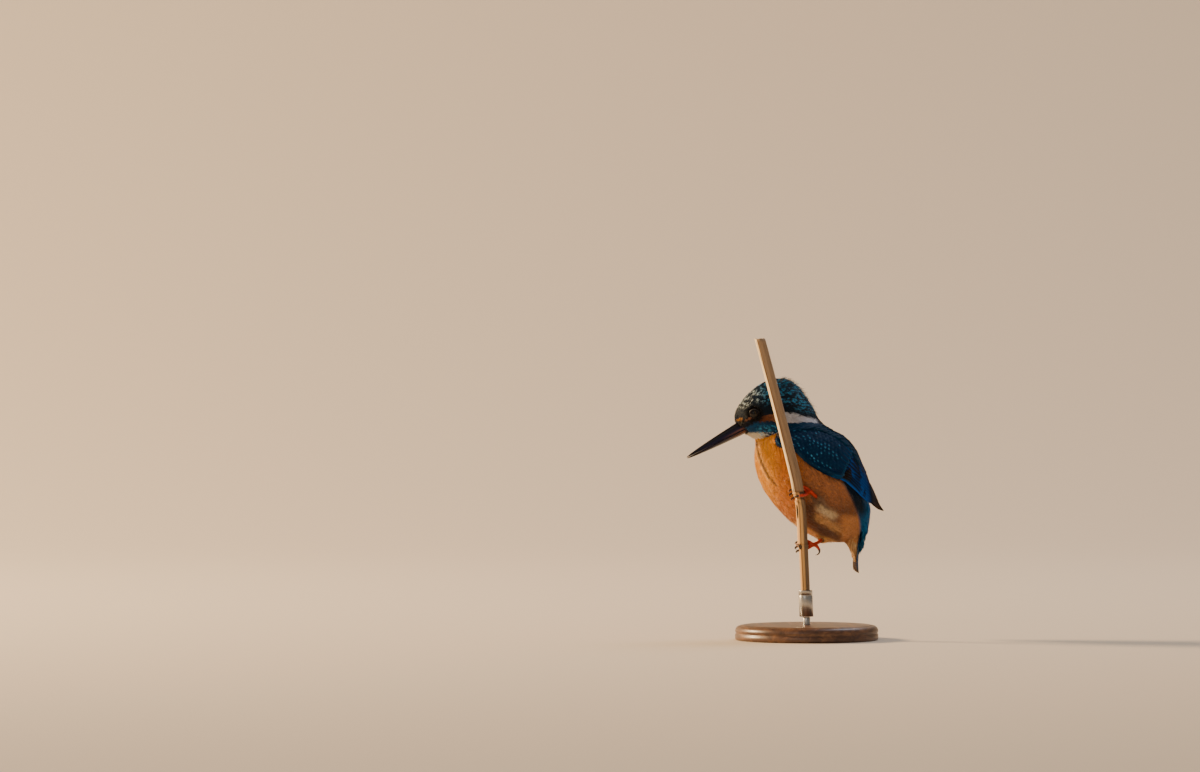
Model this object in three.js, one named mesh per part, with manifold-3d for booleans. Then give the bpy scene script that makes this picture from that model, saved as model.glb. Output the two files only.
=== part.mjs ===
// Common kingfisher (Alcedo atthis), life size, clinging sideways to a cut length of reed on a display stand.
// Millimetres, +Z up. The bird faces -Y, its left side is +X, and the origin is the centre of the stand's underside.
// The bird is divided into head, neck, trunk, belly, tail, bill, eyes, wings and legs, each in its own node.
import * as THREE from "three";
import { mergeVertices } from "three/addons/utils/BufferGeometryUtils.js";
import Module from "manifold-3d";

const wasm = await Module();
wasm.setup();

// Driving dimensions
const GAP = 0.3; // clearance kept between neighbouring pieces
const BODY_X = -12; // the bird's median plane
const HEAD_TURN = THREE.MathUtils.degToRad(10); // to the bird's left
const HEAD_PIVOT_Y = -14;
const BILL_LENGTH = 45; // tip to gape
const BILL_DEPTH_UPPER = 4.5;
const BILL_DEPTH_LOWER = 2.9;
const BILL_WIDTH = 9.4;
const EYE_RADIUS = 3.7;
const EYE_OFFSET = 7.0; // from the head's median plane
const WING_THICKNESS = 2.9;
const STEM_RADIUS = 3.35; // the reed's upper joint, in its sheath
const CANE_RADIUS = 2.7; // the reed's lower joint, half bare
const TOE_RADIUS = 0.95;
const BASE_RADIUS = 43;
const BASE_HEIGHT = 9;
const ROD_RADIUS = 2.2;

const X_AXIS = new THREE.Vector3(1, 0, 0);
const v3 = (x, y, z) => new THREE.Vector3(x, y, z);

// ---------------------------------------------------------------- shaping tools

// A closed skin over rings of equally many points, with a fan at each end.
function loft(rings) {
  const sides = rings[0].length;
  const last = rings.length - 1;
  const points = rings.flat();
  for (const ring of [rings[0], rings[last]]) {
    points.push(ring.reduce((sum, p) => sum.add(p), v3(0, 0, 0)).divideScalar(sides));
  }
  const index = [];
  for (let i = 0; i < last; i++) {
    for (let j = 0; j < sides; j++) {
      const a = i * sides + j;
      const b = i * sides + ((j + 1) % sides);
      index.push(a, b, b + sides, a, b + sides, a + sides);
    }
  }
  const start = rings.length * sides;
  for (let j = 0; j < sides; j++) {
    const k = (j + 1) % sides;
    index.push(start, k, j, start + 1, last * sides + j, last * sides + k);
  }
  return new THREE.BufferGeometry().setFromPoints(points).setIndex(index);
}

// A closed geometry as a manifold solid, turned the right way out.
function solid(geometry) {
  const bare = geometry.clone();
  bare.deleteAttribute("normal");
  bare.deleteAttribute("uv");
  const merged = mergeVertices(bare, 1e-4);
  const vertProperties = new Float32Array(merged.attributes.position.array);
  const triVerts = new Uint32Array(merged.index.array);
  const make = () => new wasm.Manifold(new wasm.Mesh({ numProp: 3, vertProperties, triVerts }));
  const made = make();
  if (made.volume() > 0) return made;
  for (let i = 0; i < triVerts.length; i += 3) {
    [triVerts[i + 1], triVerts[i + 2]] = [triVerts[i + 2], triVerts[i + 1]];
  }
  return make();
}

function geometryOf(body) {
  const mesh = body.asOriginal().simplify(0.01).getMesh(); // drops slivers left by the cuts
  const count = mesh.vertProperties.length / mesh.numProp;
  const position = new Float32Array(count * 3);
  for (let i = 0; i < count; i++) {
    position.set(mesh.vertProperties.subarray(i * mesh.numProp, i * mesh.numProp + 3), i * 3);
  }
  const geometry = new THREE.BufferGeometry();
  geometry.setAttribute("position", new THREE.BufferAttribute(position, 3));
  geometry.setIndex(new THREE.BufferAttribute(new Uint32Array(mesh.triVerts), 1));
  return geometry;
}

// A body less its cutters. Slivers left beyond a cutter are dropped.
function cut(body, ...cutters) {
  const left = cutters.reduce((rest, cutter) => rest.subtract(cutter), body);
  return left.decompose().reduce((best, piece) => (piece.volume() > best.volume() ? piece : best));
}

// Smooth values between stations: each station is a list of numbers, and each column is one curve.
function between(stations, count) {
  const columns = stations[0].map((_, k) => {
    const curve = new THREE.SplineCurve(stations.map((s, i) => new THREE.Vector2(i, s[k])));
    return (t) => curve.getPoint(t).y;
  });
  return Array.from({ length: count }, (_, i) => columns.map((column) => column(i / (count - 1))));
}

// A ring through a back point and a belly point of the median plane. sag lowers its widest level.
function bodyRing([backY, backZ, bellyY, bellyZ, half, sag = 0], sides, grow) {
  const back = v3(0, backY, backZ);
  const belly = v3(0, bellyY, bellyZ);
  const middle = back.clone().add(belly).divideScalar(2);
  const up = back.clone().sub(belly).normalize();
  const reach = back.distanceTo(belly) / 2 + grow;
  return Array.from({ length: sides }, (_, i) => {
    const angle = (i / sides) * 2 * Math.PI;
    const c = Math.cos(angle);
    return middle
      .clone()
      .addScaledVector(up, reach * (c - sag * (1 - c * c)))
      .addScaledVector(X_AXIS, (half + grow) * Math.sin(angle));
  });
}
function bodyLoft(stations, rings, sides, place, grow = 0) {
  const geometry = loft(between(stations, rings).map((s) => bodyRing(s, sides, grow)));
  return solid(geometry.applyMatrix4(place));
}

// A round limb along a smooth curve through the points, with a radius at each.
function limb(points, radii, { steps = 8, sides = 6, grow = 0 } = {}) {
  const curve = new THREE.CatmullRomCurve3(points.map((p) => v3(...p)));
  const size = between(radii.map((r) => [r]), steps + 1);
  const side = v3(0.31, 0.17, 0.93);
  const rings = [];
  for (let i = 0; i <= steps; i++) {
    const along = curve.getTangent(i / steps);
    side.addScaledVector(along, -side.dot(along)).normalize();
    const other = v3(0, 0, 0).crossVectors(along, side);
    const centre = curve.getPoint(i / steps);
    if (i === 0) centre.addScaledVector(along, -grow);
    if (i === steps) centre.addScaledVector(along, grow);
    const ring = [];
    for (let j = 0; j < sides; j++) {
      const angle = (j / sides) * 2 * Math.PI;
      const reach = size[i][0] + grow;
      ring.push(
        centre
          .clone()
          .addScaledVector(side, reach * Math.cos(angle))
          .addScaledVector(other, reach * Math.sin(angle)),
      );
    }
    rings.push(ring);
  }
  return solid(loft(rings));
}

// Parts a body with thin cuts at right angles to the median plane. Each cut is a line front to rear.
// The first piece lies above the first cut.
function part(body, cuts) {
  const pieces = [];
  let rest = body;
  for (const [[frontY, frontZ], [rearY, rearZ]] of cuts) {
    const normal = v3(0, frontZ - rearZ, rearY - frontY).normalize();
    const level = normal.y * frontY + normal.z * frontZ;
    pieces.push(cut(rest.trimByPlane(normal.toArray(), level + GAP / 2)));
    rest = rest.trimByPlane(normal.clone().negate().toArray(), -(level - GAP / 2));
  }
  return [...pieces, cut(rest)];
}

// ---------------------------------------------------------------- materials

const paint = (color, roughness, metalness = 0) =>
  new THREE.MeshStandardMaterial({ color, roughness, metalness });
const looks = {
  plumage_crown: paint(0x0f3a4c, 0.6),
  plumage_wing: paint(0x134a68, 0.6),
  plumage_azure: paint(0x1f8fc8, 0.55),
  plumage_rufous: paint(0xc9762c, 0.8),
  plumage_tail: paint(0x1b2a3c, 0.6),
  bill_horn: paint(0x17131a, 0.35),
  eye_gloss: paint(0x120c0a, 0.08),
  foot_skin: paint(0xc8331a, 0.5),
  claw_horn: paint(0x1b1514, 0.4),
  reed_sheath: paint(0xb49468, 0.7),
  reed_cane: paint(0x8d7a5c, 0.6),
  stand_wood: paint(0x4a3122, 0.5),
  stand_steel: paint(0x8c8c8c, 0.35, 1),
};

const kingfisher = new THREE.Group();
kingfisher.name = "kingfisher_on_reed";
function add(name, body, look) {
  const mesh = new THREE.Mesh(geometryOf(body), looks[look].clone());
  mesh.material.name = look;
  mesh.name = name;
  kingfisher.add(mesh);
}

// ---------------------------------------------------------------- head, neck, trunk and belly
// Stations run from front to rear: back y, back z, belly y, belly z, half width, sag.

const HEAD_STATIONS = [
  [-43.6, 131.5, -38.8, 124.8, 3.8, 0], // round the base of the bill
  [-42.6, 137.2, -35.6, 122.6, 7.6, 0.08], // forehead to chin
  [-38.3, 144.1, -31.8, 120.6, 10.2, 0.16], // in front of the eyes
  [-32.0, 150.3, -27.8, 118.0, 12.2, 0.22], // eyes
  [-24.6, 155.2, -21.4, 117.0, 13.6, 0.26], // ear coverts
  [-14.8, 157.5, -13.6, 116.5, 14.4, 0.28], // top of the crown
  [-6.6, 154.4, -6.0, 117.0, 14.4, 0.3], // hind crown
  [0.4, 146.7, 1.2, 118.0, 13.2, 0.28],
  [6.5, 136.8, 5.6, 119.5, 10.6, 0.2], // nape
  [10.6, 129.8, 8.0, 121.0, 6.0, 0],
];
const TRUNK_STATIONS = [
  [3.0, 139.0, -22.0, 133.0, 11.5, 0], // hidden inside the head
  [9.8, 131.4, -27.2, 125.2, 15.2, 0], // lower neck
  [15.6, 126.2, -29.8, 118.0, 19.4, 0.02], // shoulders and upper breast
  [22.5, 122.4, -30.6, 109.0, 22.6, 0.05],
  [28.4, 115.0, -29.2, 99.4, 24.6, 0.06], // widest across the wings
  [33.0, 105.4, -24.4, 88.4, 25.4, 0.08],
  [36.4, 95.6, -15.8, 76.8, 24.6, 0.08], // belly
  [38.8, 86.4, -5.0, 66.4, 22.4, 0.06],
  [39.4, 78.6, 7.0, 59.9, 18.6, 0.02], // vent
  [38.6, 72.4, 17.6, 57.0, 13.4, 0],
  [37.4, 67.6, 25.0, 59.4, 8.0, 0],
];

const headTurn = new THREE.Matrix4()
  .makeTranslation(BODY_X, HEAD_PIVOT_Y, 0)
  .multiply(new THREE.Matrix4().makeRotationZ(HEAD_TURN))
  .multiply(new THREE.Matrix4().makeTranslation(0, -HEAD_PIVOT_Y, 0));
const bodyPlace = new THREE.Matrix4().makeTranslation(BODY_X, 0, 0);
const inHead = (point) => point.applyMatrix4(headTurn);
const inBody = (point) => point.applyMatrix4(bodyPlace);

const headShape = (grow = 0) => bodyLoft(HEAD_STATIONS, 14, 18, headTurn, grow);
const trunkShape = (grow = 0) => bodyLoft(TRUNK_STATIONS, 15, 24, bodyPlace, grow);
const bodyShape = (grow = 0) => headShape(grow).add(trunkShape(grow));

// ---------------------------------------------------------------- bill and eyes

const GAPE = v3(0, -32.8, 129.4);
const BILL_TIP = v3(0, -73.2, 109.4);
const billBack = GAPE.clone().sub(BILL_TIP).normalize(); // from tip to gape
const billUp = v3(0, -billBack.z, billBack.y);

// One half of the bill: side is 1 above the gape line and -1 below it.
function mandible(side, depth, grow = 0) {
  const steps = 9;
  const sides = 9;
  const rings = [];
  for (let i = 0; i <= steps; i++) {
    const s = BILL_LENGTH * (0.012 + 0.988 * (i / steps) ** 1.35);
    const high = depth * Math.min(s / 36, 1) ** (side > 0 ? 0.66 : 0.56);
    const wide = (BILL_WIDTH / 2) * (s / 38) ** 0.72 + grow;
    const end = i === steps ? grow : i === 0 ? -grow : 0;
    const spine = BILL_TIP.clone().addScaledVector(billBack, s + end);
    const at = (across, rise) =>
      spine
        .clone()
        .addScaledVector(X_AXIS, wide * across)
        .addScaledVector(billUp, side * (GAP / 2 + rise));
    const ring = [];
    for (let j = 0; j < sides; j++) {
      const across = Math.cos((j / (sides - 1)) * Math.PI);
      const arch = (1 - Math.abs(across) ** 1.5) ** 0.85;
      ring.push(at(across, high * arch + 0.15 + grow));
    }
    ring.push(at(-0.9, -grow), at(0.9, -grow));
    rings.push(ring.map(inHead));
  }
  return solid(loft(rings));
}
add("bill_upper", mandible(1, BILL_DEPTH_UPPER), "bill_horn");
add("bill_lower", mandible(-1, BILL_DEPTH_LOWER), "bill_horn");

function eye(side, grow = 0) {
  const ball = new THREE.SphereGeometry(EYE_RADIUS + grow, 12, 8);
  const centre = inHead(v3(side * EYE_OFFSET, -33.0, 135.9));
  return solid(ball.translate(centre.x, centre.y, centre.z));
}
add("eye_left", eye(1), "eye_gloss");
add("eye_right", eye(-1), "eye_gloss");

const flesh = cut(
  bodyShape(),
  mandible(1, BILL_DEPTH_UPPER, GAP),
  mandible(-1, BILL_DEPTH_LOWER, GAP),
  eye(1, GAP),
  eye(-1, GAP),
);
const [head, neck, trunk, belly] = part(flesh, [
  [[-40, 121.6], [14, 132.4]],
  [[-34, 113.6], [22, 122.4]],
  [[-26, 76], [40, 92]],
]);
add("head", head, "plumage_crown");
add("neck", neck, "plumage_rufous");
add("trunk", trunk, "plumage_rufous");
add("belly", belly, "plumage_rufous");

// ---------------------------------------------------------------- tail
// Same stations as the body: a flat fan of tail feathers between upper and under coverts.

const TAIL_STATIONS = [
  [38.0, 74.0, 36.6, 74.2, 8.5],
  [35.6, 66.0, 34.2, 66.2, 10.5],
  [33.7, 57.0, 32.4, 57.2, 11.2],
  [32.9, 48.0, 31.6, 48.2, 11.0],
  [32.9, 42.0, 31.9, 42.1, 9.5],
  [32.9, 39.7, 32.3, 39.8, 6.0],
];
const UPPERTAIL_STATIONS = [
  [41.2, 80.0, 36.0, 80.0, 11.5],
  [40.2, 74.6, 35.4, 75.0, 11.0],
  [38.2, 66.8, 33.6, 67.4, 10.0],
  [36.0, 61.0, 32.6, 61.4, 8.6],
  [34.8, 55.4, 32.4, 55.6, 6.4],
  [33.9, 50.4, 32.9, 50.5, 3.0],
];
const UNDERTAIL_STATIONS = [
  [34.5, 70.0, 19.0, 60.0, 8.5],
  [33.0, 62.0, 25.0, 58.4, 9.4],
  [32.2, 56.5, 26.8, 55.2, 9.0],
  [31.6, 51.0, 28.9, 50.5, 7.4],
  [31.7, 45.6, 30.9, 45.4, 4.2],
];
const tailShape = (grow = 0) => bodyLoft(TAIL_STATIONS, 6, 12, bodyPlace, grow);
const uppertail = bodyLoft(UPPERTAIL_STATIONS, 6, 12, bodyPlace);
const undertail = bodyLoft(UNDERTAIL_STATIONS, 7, 12, bodyPlace);
add("tail", cut(tailShape(), trunkShape(GAP)), "plumage_tail");
add("uppertail", cut(uppertail, trunkShape(GAP), tailShape(GAP)), "plumage_azure");
add("undertail", cut(undertail, trunkShape(GAP), tailShape(GAP)), "plumage_rufous");

// ---------------------------------------------------------------- wings
// A folded wing is a layer laid over the body inside its outline, and a blade of long feathers to the tip.

const WING_OUTLINE = [
  [-20.6, 121.2], // bend of the wing
  [-18.6, 116.8],
  [-8.7, 114.4],
  [-2.5, 108.2],
  [4.4, 103.4],
  [12.8, 99.4],
  [19.6, 97.2],
  [24.5, 92.0],
  [30.5, 86.6],
  [38.6, 81.0],
  [44.0, 77.8],
  [50.0, 92.0],
  [44.0, 112.0],
  [30.0, 126.0],
  [16.0, 131.0],
  [4.0, 129.0],
  [-10.0, 126.6],
  [-18.0, 124.8],
];
// Blade stations: upper edge x y z, lower edge x y z, and the outward bulge.
const BLADE_STATIONS = [
  [3.4, 31.0, 108.0, 19.0, 17.0, 100.0, 2.6],
  [2.2, 36.8, 101.0, 19.0, 25.0, 94.4, 2.4],
  [1.6, 40.6, 92.6, 16.0, 32.4, 87.2, 2.4],
  [2.0, 43.0, 85.2, 11.2, 38.8, 81.6, 1.9],
  [3.4, 45.2, 79.6, 7.6, 43.6, 78.2, 0.9],
  [5.0, 46.9, 76.6, 5.8, 46.6, 76.4, 0.1],
];

function wingBlade(side) {
  const across = 4;
  const rings = between(BLADE_STATIONS, 8).map(([ux, uy, uz, lx, ly, lz, bulge]) => {
    const upper = v3(ux, uy, uz);
    const lower = v3(lx, ly, lz);
    const out = v3(0.62, 0.66, 0.42).normalize();
    const ring = [];
    for (const face of [1, -1]) {
      for (let j = 0; j <= across; j++) {
        const t = face > 0 ? j / across : 1 - j / across;
        const swell = Math.sin(Math.PI * t);
        const skin = face * (0.42 + 0.55 * swell);
        ring.push(upper.clone().lerp(lower, t).addScaledVector(out, bulge * swell + skin));
      }
    }
    for (const p of ring) p.x *= side;
    return ring.map(inBody);
  });
  return solid(loft(rings));
}

function wing(side) {
  const outline = new THREE.Shape(WING_OUTLINE.map(([y, z]) => new THREE.Vector2(y, z)));
  const prism = new THREE.ExtrudeGeometry(outline, { depth: 60, bevelEnabled: false });
  const turn = new THREE.Matrix4().makeBasis(v3(0, 1, 0), v3(0, 0, 1), v3(1, 0, 0));
  const mirror = new THREE.Matrix4().makeScale(side, 1, 1);
  const window = solid(prism.applyMatrix4(turn).applyMatrix4(mirror).applyMatrix4(bodyPlace));
  const layer = trunkShape(WING_THICKNESS).intersect(window);
  // The mantle stays bare between the wings, widest at the shoulders.
  const inner = v3(side, 0.12, -0.084);
  const length = inner.length();
  const level = side * BODY_X - 0.4;
  const whole = layer.trimByPlane(inner.divideScalar(length).toArray(), level / length);
  return cut(whole.add(wingBlade(side)), bodyShape(GAP), uppertail, tailShape(GAP));
}
for (const [name, side] of [["left", 1], ["right", -1]]) {
  const [coverts, secondaries, primaries] = part(wing(side), [
    [[-4, 90], [22, 130]],
    [[18, 76], [44, 112]],
  ]);
  add(`wing_coverts_${name}`, coverts, "plumage_wing");
  add(`wing_secondaries_${name}`, secondaries, "plumage_wing");
  add(`wing_primaries_${name}`, primaries, "plumage_wing");
}

// ---------------------------------------------------------------- reed
// Centre line of the stem from its cut foot up: x, y, z.

const STEM = [
  [0.6, -0.2, 14.0],
  [1.8, -0.8, 24.0],
  [4.0, -1.5, 36.0],
  [8.6, -3.0, 57.0],
  [13.4, -4.7, 80.0],
  [15.6, -6.7, 89.0],
  [17.4, -8.6, 98.0],
  [20.8, -17.8, 133.0],
  [24.2, -27.3, 168.0],
  [25.6, -31.5, 183.0],
];
const REED_FOOT = 20.5;
const NODE_UPPER = 87.4; // height of the joint the upper foot holds
const NODE_LOWER = 56.4;
const REED_TOP = 182;

function stemAt(z) {
  const i = Math.max(0, Math.min(STEM.length - 2, STEM.findIndex((p) => p[2] > z) - 1));
  const p = STEM.map((row) => v3(...row));
  const t = (z - STEM[i][2]) / (STEM[i + 1][2] - STEM[i][2]);
  const before = p[Math.max(i - 1, 0)];
  const after = p[Math.min(i + 2, p.length - 1)];
  const slope = (a, b) => b.clone().sub(a).divideScalar(b.z - a.z);
  const rise = STEM[i + 1][2] - STEM[i][2];
  const m0 = slope(before, p[i + 1]).multiplyScalar(rise);
  const m1 = slope(p[i], after).multiplyScalar(rise);
  return v3(0, 0, 0)
    .addScaledVector(p[i], 2 * t ** 3 - 3 * t ** 2 + 1)
    .addScaledVector(m0, t ** 3 - 2 * t ** 2 + t)
    .addScaledVector(p[i + 1], -2 * t ** 3 + 3 * t ** 2)
    .addScaledVector(m1, t ** 3 - t ** 2)
    .setZ(z);
}

// A round piece of stem from one height to another, with radii spread evenly along it.
function stem(from, to, radii, { grow = 0, rings = 6, sides = 14 } = {}) {
  const size = between(radii.map((r) => [r]), rings + 1);
  const made = size.map(([radius], i) => {
    const reach = radius + grow;
    const end = i === 0 ? -grow : i === rings ? grow : 0;
    const centre = stemAt(from + ((to - from) * i) / rings + end);
    return Array.from({ length: sides }, (_, j) => {
      const angle = (j / sides) * 2 * Math.PI;
      return v3(centre.x + reach * Math.cos(angle), centre.y + reach * Math.sin(angle), centre.z);
    });
  });
  return solid(loft(made));
}

const upperStem = stem(NODE_UPPER + 2.2, REED_TOP, [3.55, 3.4, STEM_RADIUS, 3.3, 3.2]);
const upperJoint = stem(NODE_UPPER - 1.3, NODE_UPPER + 1.9, [3.2, 3.75, 3.5], { rings: 3 });
const lowerJoint = stem(NODE_LOWER - 1, NODE_LOWER + 1, [2.9, 3.15, 2.9], { rings: 3 });
const lowerStem = stem(REED_FOOT, NODE_UPPER - 1.6, [CANE_RADIUS, CANE_RADIUS], { rings: 7 });
const cane = lowerStem.add(lowerJoint);
add("reed_upper", upperStem, "reed_sheath");
add("reed_joint", upperJoint, "reed_sheath");
add("reed_cane", cane, "reed_cane");

// The lower sheath wraps the front half of the cane and ends in a slanting tear.
function lowerSheath() {
  const from = NODE_LOWER + 1.4;
  const to = NODE_UPPER - 3.2;
  const wrap = stem(from, to, [3.25, 3.2, 3.25], { rings: 4 });
  const bare = stem(from - 3, to + 3, [CANE_RADIUS + GAP, CANE_RADIUS + GAP], { rings: 5 });
  const plane = v3(0.3, -0.95, 0.06).normalize();
  const middle = stemAt((from + to) / 2);
  return cut(wrap.subtract(bare).trimByPlane(plane.toArray(), plane.dot(middle) - 0.4));
}
add("reed_sheath", lowerSheath(), "reed_sheath");

// A point beside the stem, at an angle in plan: 0 is +X, 90 is +Y, 180 faces the body.
function besideStem(degrees, reach, z) {
  const angle = THREE.MathUtils.degToRad(degrees);
  const centre = stemAt(z);
  return [centre.x + reach * Math.cos(angle), centre.y + reach * Math.sin(angle), z];
}
const reedRoom = [
  stem(NODE_UPPER + 1.5, REED_TOP, [3.9, 3.7, 3.7]),
  stem(NODE_UPPER - 1.8, NODE_UPPER + 2.2, [3.6, 4.15, 3.9], { rings: 3 }),
  stem(REED_FOOT - 2, NODE_UPPER, [CANE_RADIUS + GAP, CANE_RADIUS + GAP], { rings: 7 }),
  stem(NODE_LOWER - 1.4, NODE_LOWER + 1.4, [3.25, 3.5, 3.25], { rings: 3 }),
];

// ---------------------------------------------------------------- legs and feet
// Toes run round the stem on the body side, and their claws come round to the far side.

const GRIP = STEM_RADIUS + 0.9 + TOE_RADIUS; // toe centre to stem centre
const TOE_RADII = [1.2, 1.0, 0.95, 0.9, 0.85, 0.75];
const CLAW_RADII = [0.72, 0.62, 0.45, 0.24];
// Each toe: start angle, end angle, start height, end height. Each claw goes on from its toe's end.
const FEET = {
  left: {
    thigh: [[-4.0, 13.0, 78.0], [6.6, 9.4, 82.6], [12.0, 5.4, 86.4]],
    tarsus: [[11.2, 5.4, 85.6], [12.9, 2.6, 88.0], [14.5, 0.0, 90.2]],
    grip: GRIP,
    toes: {
      hallux: { route: [66, -6, 88.2, 87.2], claw: [-12, -46, 87.1, 86.8], bends: 3 },
      inner: { route: [122, 202, 92.2, 91.2], claw: [209, 254, 91.1, 89.2] },
      middle: { route: [120, 214, 90.0, 88.6], claw: [221, 266, 88.5, 86.6] },
      outer: { route: [118, 200, 87.8, 86.2], claw: [207, 250, 86.1, 84.2] },
    },
  },
  right: {
    thigh: [[-12.0, 14.0, 68.0], [-8.0, 11.6, 62.0], [-3.6, 8.8, 59.4]],
    tarsus: [[-4.6, 9.4, 59.8], [0.8, 6.2, 58.2], [5.6, 3.4, 57.4]],
    grip: CANE_RADIUS + 0.6 + TOE_RADIUS,
    toes: {
      inner: { route: [138, 206, 59.6, 59.4], claw: [213, 262, 59.4, 57.6] },
      middle: { route: [138, 220, 57.6, 56.5], claw: [228, 278, 56.4, 54.7] },
      outer: { route: [138, 202, 55.3, 54.2], claw: [209, 256, 54.1, 52.6] },
    },
    // The lower foot's hind toe hangs free of the reed, its claw curling down and forward.
    free: {
      route: [[5.6, 3.4, 57.4], [6.9, 5.2, 56.6], [7.6, 6.4, 55.0]],
      hook: [[7.8, 6.7, 54.4], [7.9, 6.8, 53.0], [7.5, 5.8, 51.6], [6.9, 4.3, 51.2]],
    },
  },
};

for (const [side, foot] of Object.entries(FEET)) {
  const palm = foot.tarsus[2];
  const thigh = (grow = 0) => limb(foot.thigh, [7.0, 5.4, 2.6], { steps: 5, sides: 12, grow });
  add(`thigh_${side}`, cut(thigh(), trunkShape(GAP)), "plumage_rufous");

  const toes = Object.entries(foot.toes).map(([name, toe]) => {
    const [from, to, zFrom, zTo] = toe.route;
    const bends = toe.bends ?? 4;
    const route = [palm];
    for (let i = 0; i <= bends; i++) {
      const t = i / bends;
      route.push(besideStem(from + (to - from) * t, foot.grip, zFrom + (zTo - zFrom) * t));
    }
    const [clawFrom, clawTo, high, low] = toe.claw;
    const hook = [[0, 0], [0.35, 0.75], [0.72, 0.6], [1, -0.35]].map(([t, rise]) =>
      besideStem(clawFrom + (clawTo - clawFrom) * t, foot.grip + rise, high + (low - high) * t),
    );
    return { name, route, hook, steps: 9 };
  });
  if (foot.free) toes.push({ name: "hallux", steps: 4, ...foot.free });

  // Tarsus and toes are one piece of scaly skin. Each claw is a piece of horn at its toe's end.
  const skin = (grow = 0) =>
    toes.reduce(
      (all, toe) => all.add(limb(toe.route, TOE_RADII, { steps: toe.steps, grow })),
      limb(foot.tarsus, [1.2, 1.05, 1.3], { steps: 5, grow }),
    );
  add(`foot_${side}`, cut(skin(), trunkShape(GAP), thigh(GAP), ...reedRoom), "foot_skin");
  for (const { name, hook } of toes) {
    const claw = limb(hook, CLAW_RADII, { steps: 5 });
    add(`claw_${name}_${side}`, cut(claw, skin(GAP), ...reedRoom), "claw_horn");
  }
}

// ---------------------------------------------------------------- display stand

const profile = [
  [0, 0],
  [BASE_RADIUS - 0.8, 0],
  [BASE_RADIUS, 0.8],
  [BASE_RADIUS, BASE_HEIGHT - 2.2],
  [BASE_RADIUS - 0.7, BASE_HEIGHT - 0.7],
  [BASE_RADIUS - 2.2, BASE_HEIGHT],
  [0, BASE_HEIGHT],
].map(([r, z]) => new THREE.Vector2(r, z));
const disc = new THREE.LatheGeometry(profile, 36).rotateX(Math.PI / 2);
add("stand_base", solid(disc), "stand_wood");

// A short rod and the cup that takes the reed's cut foot.
const CUP_FOOT = BASE_HEIGHT + 5;
const rod = new THREE.CylinderGeometry(ROD_RADIUS, ROD_RADIUS, CUP_FOOT - BASE_HEIGHT - 2 * GAP, 24)
  .rotateX(Math.PI / 2)
  .translate(STEM[0][0], STEM[0][1], (CUP_FOOT + BASE_HEIGHT) / 2);
add("stand_rod", solid(rod), "stand_steel");
const cup = stem(CUP_FOOT, 30, [4.2, 4.2], { rings: 2, sides: 18 });
const bore = stem(REED_FOOT - GAP, 34, [CANE_RADIUS + GAP, CANE_RADIUS + GAP], { rings: 2 });
add("stand_cup", cup.subtract(bore), "stand_steel");

export default kingfisher;
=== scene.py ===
import math

import bmesh
import bpy
import numpy as np
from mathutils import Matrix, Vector
from mathutils.bvhtree import BVHTree


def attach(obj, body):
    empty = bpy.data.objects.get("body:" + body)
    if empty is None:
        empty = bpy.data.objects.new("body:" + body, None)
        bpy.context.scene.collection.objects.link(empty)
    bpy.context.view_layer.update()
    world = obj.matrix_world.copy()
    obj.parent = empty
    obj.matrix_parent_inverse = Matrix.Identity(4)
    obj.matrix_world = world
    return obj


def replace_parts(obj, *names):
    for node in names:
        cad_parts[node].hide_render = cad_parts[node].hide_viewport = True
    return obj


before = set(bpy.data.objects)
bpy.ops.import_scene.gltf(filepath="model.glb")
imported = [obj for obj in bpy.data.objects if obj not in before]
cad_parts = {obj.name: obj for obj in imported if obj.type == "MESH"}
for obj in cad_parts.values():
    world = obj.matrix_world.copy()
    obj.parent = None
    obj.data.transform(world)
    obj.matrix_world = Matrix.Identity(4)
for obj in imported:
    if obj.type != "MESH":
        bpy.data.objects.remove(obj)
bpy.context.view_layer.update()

# ---------------------------------------------------------------------------
# Studio. A seamless sweep of warm pale paper: level under the stand, then one wide
# curve up into an upright background. Long lens, a little above the bird's middle
# and a few degrees round towards its front. Soft boxes stand well out of view.

VIEW_DISTANCE = 6.0  # m
BIRD_MIDDLE = Vector((-0.012, 0, 0.1))
camera_data = bpy.data.cameras.new("view_camera")
camera_data.lens = 300
camera_data.sensor_width = 36
camera_data.clip_end = 60
camera = bpy.data.objects.new("view_camera", camera_data)
bpy.context.collection.objects.link(camera)
view_aim = Vector((-0.012, -0.1235, 0.1524))
view_turn = math.radians(5)
view_rise = math.radians(1.5)
toward_camera = Vector((
    math.cos(view_turn) * math.cos(view_rise),
    -math.sin(view_turn) * math.cos(view_rise),
    math.sin(view_rise),
))
camera.location = view_aim + VIEW_DISTANCE * toward_camera
camera.rotation_euler = toward_camera.to_track_quat("Z", "Y").to_euler()
bpy.context.scene.camera = camera


def linear(colour):
    """An sRGB hex colour such as "c8331a" as linear red, green and blue."""
    parts = [int(colour[i:i + 2], 16) / 255 for i in (0, 2, 4)]
    return tuple(c / 12.92 if c <= 0.04045 else ((c + 0.055) / 1.055) ** 2.4 for c in parts)


def add_node(tree, kind, values=None, links=None, **settings):
    """One shader node, with its settings, its socket values and its incoming links."""
    made = tree.nodes.new(kind)
    for key, value in settings.items():
        setattr(made, key, value)
    for key, value in (values or {}).items():
        made.inputs[key].default_value = value
    for key, source in (links or {}).items():
        tree.links.new(source, made.inputs[key])
    return made


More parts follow.
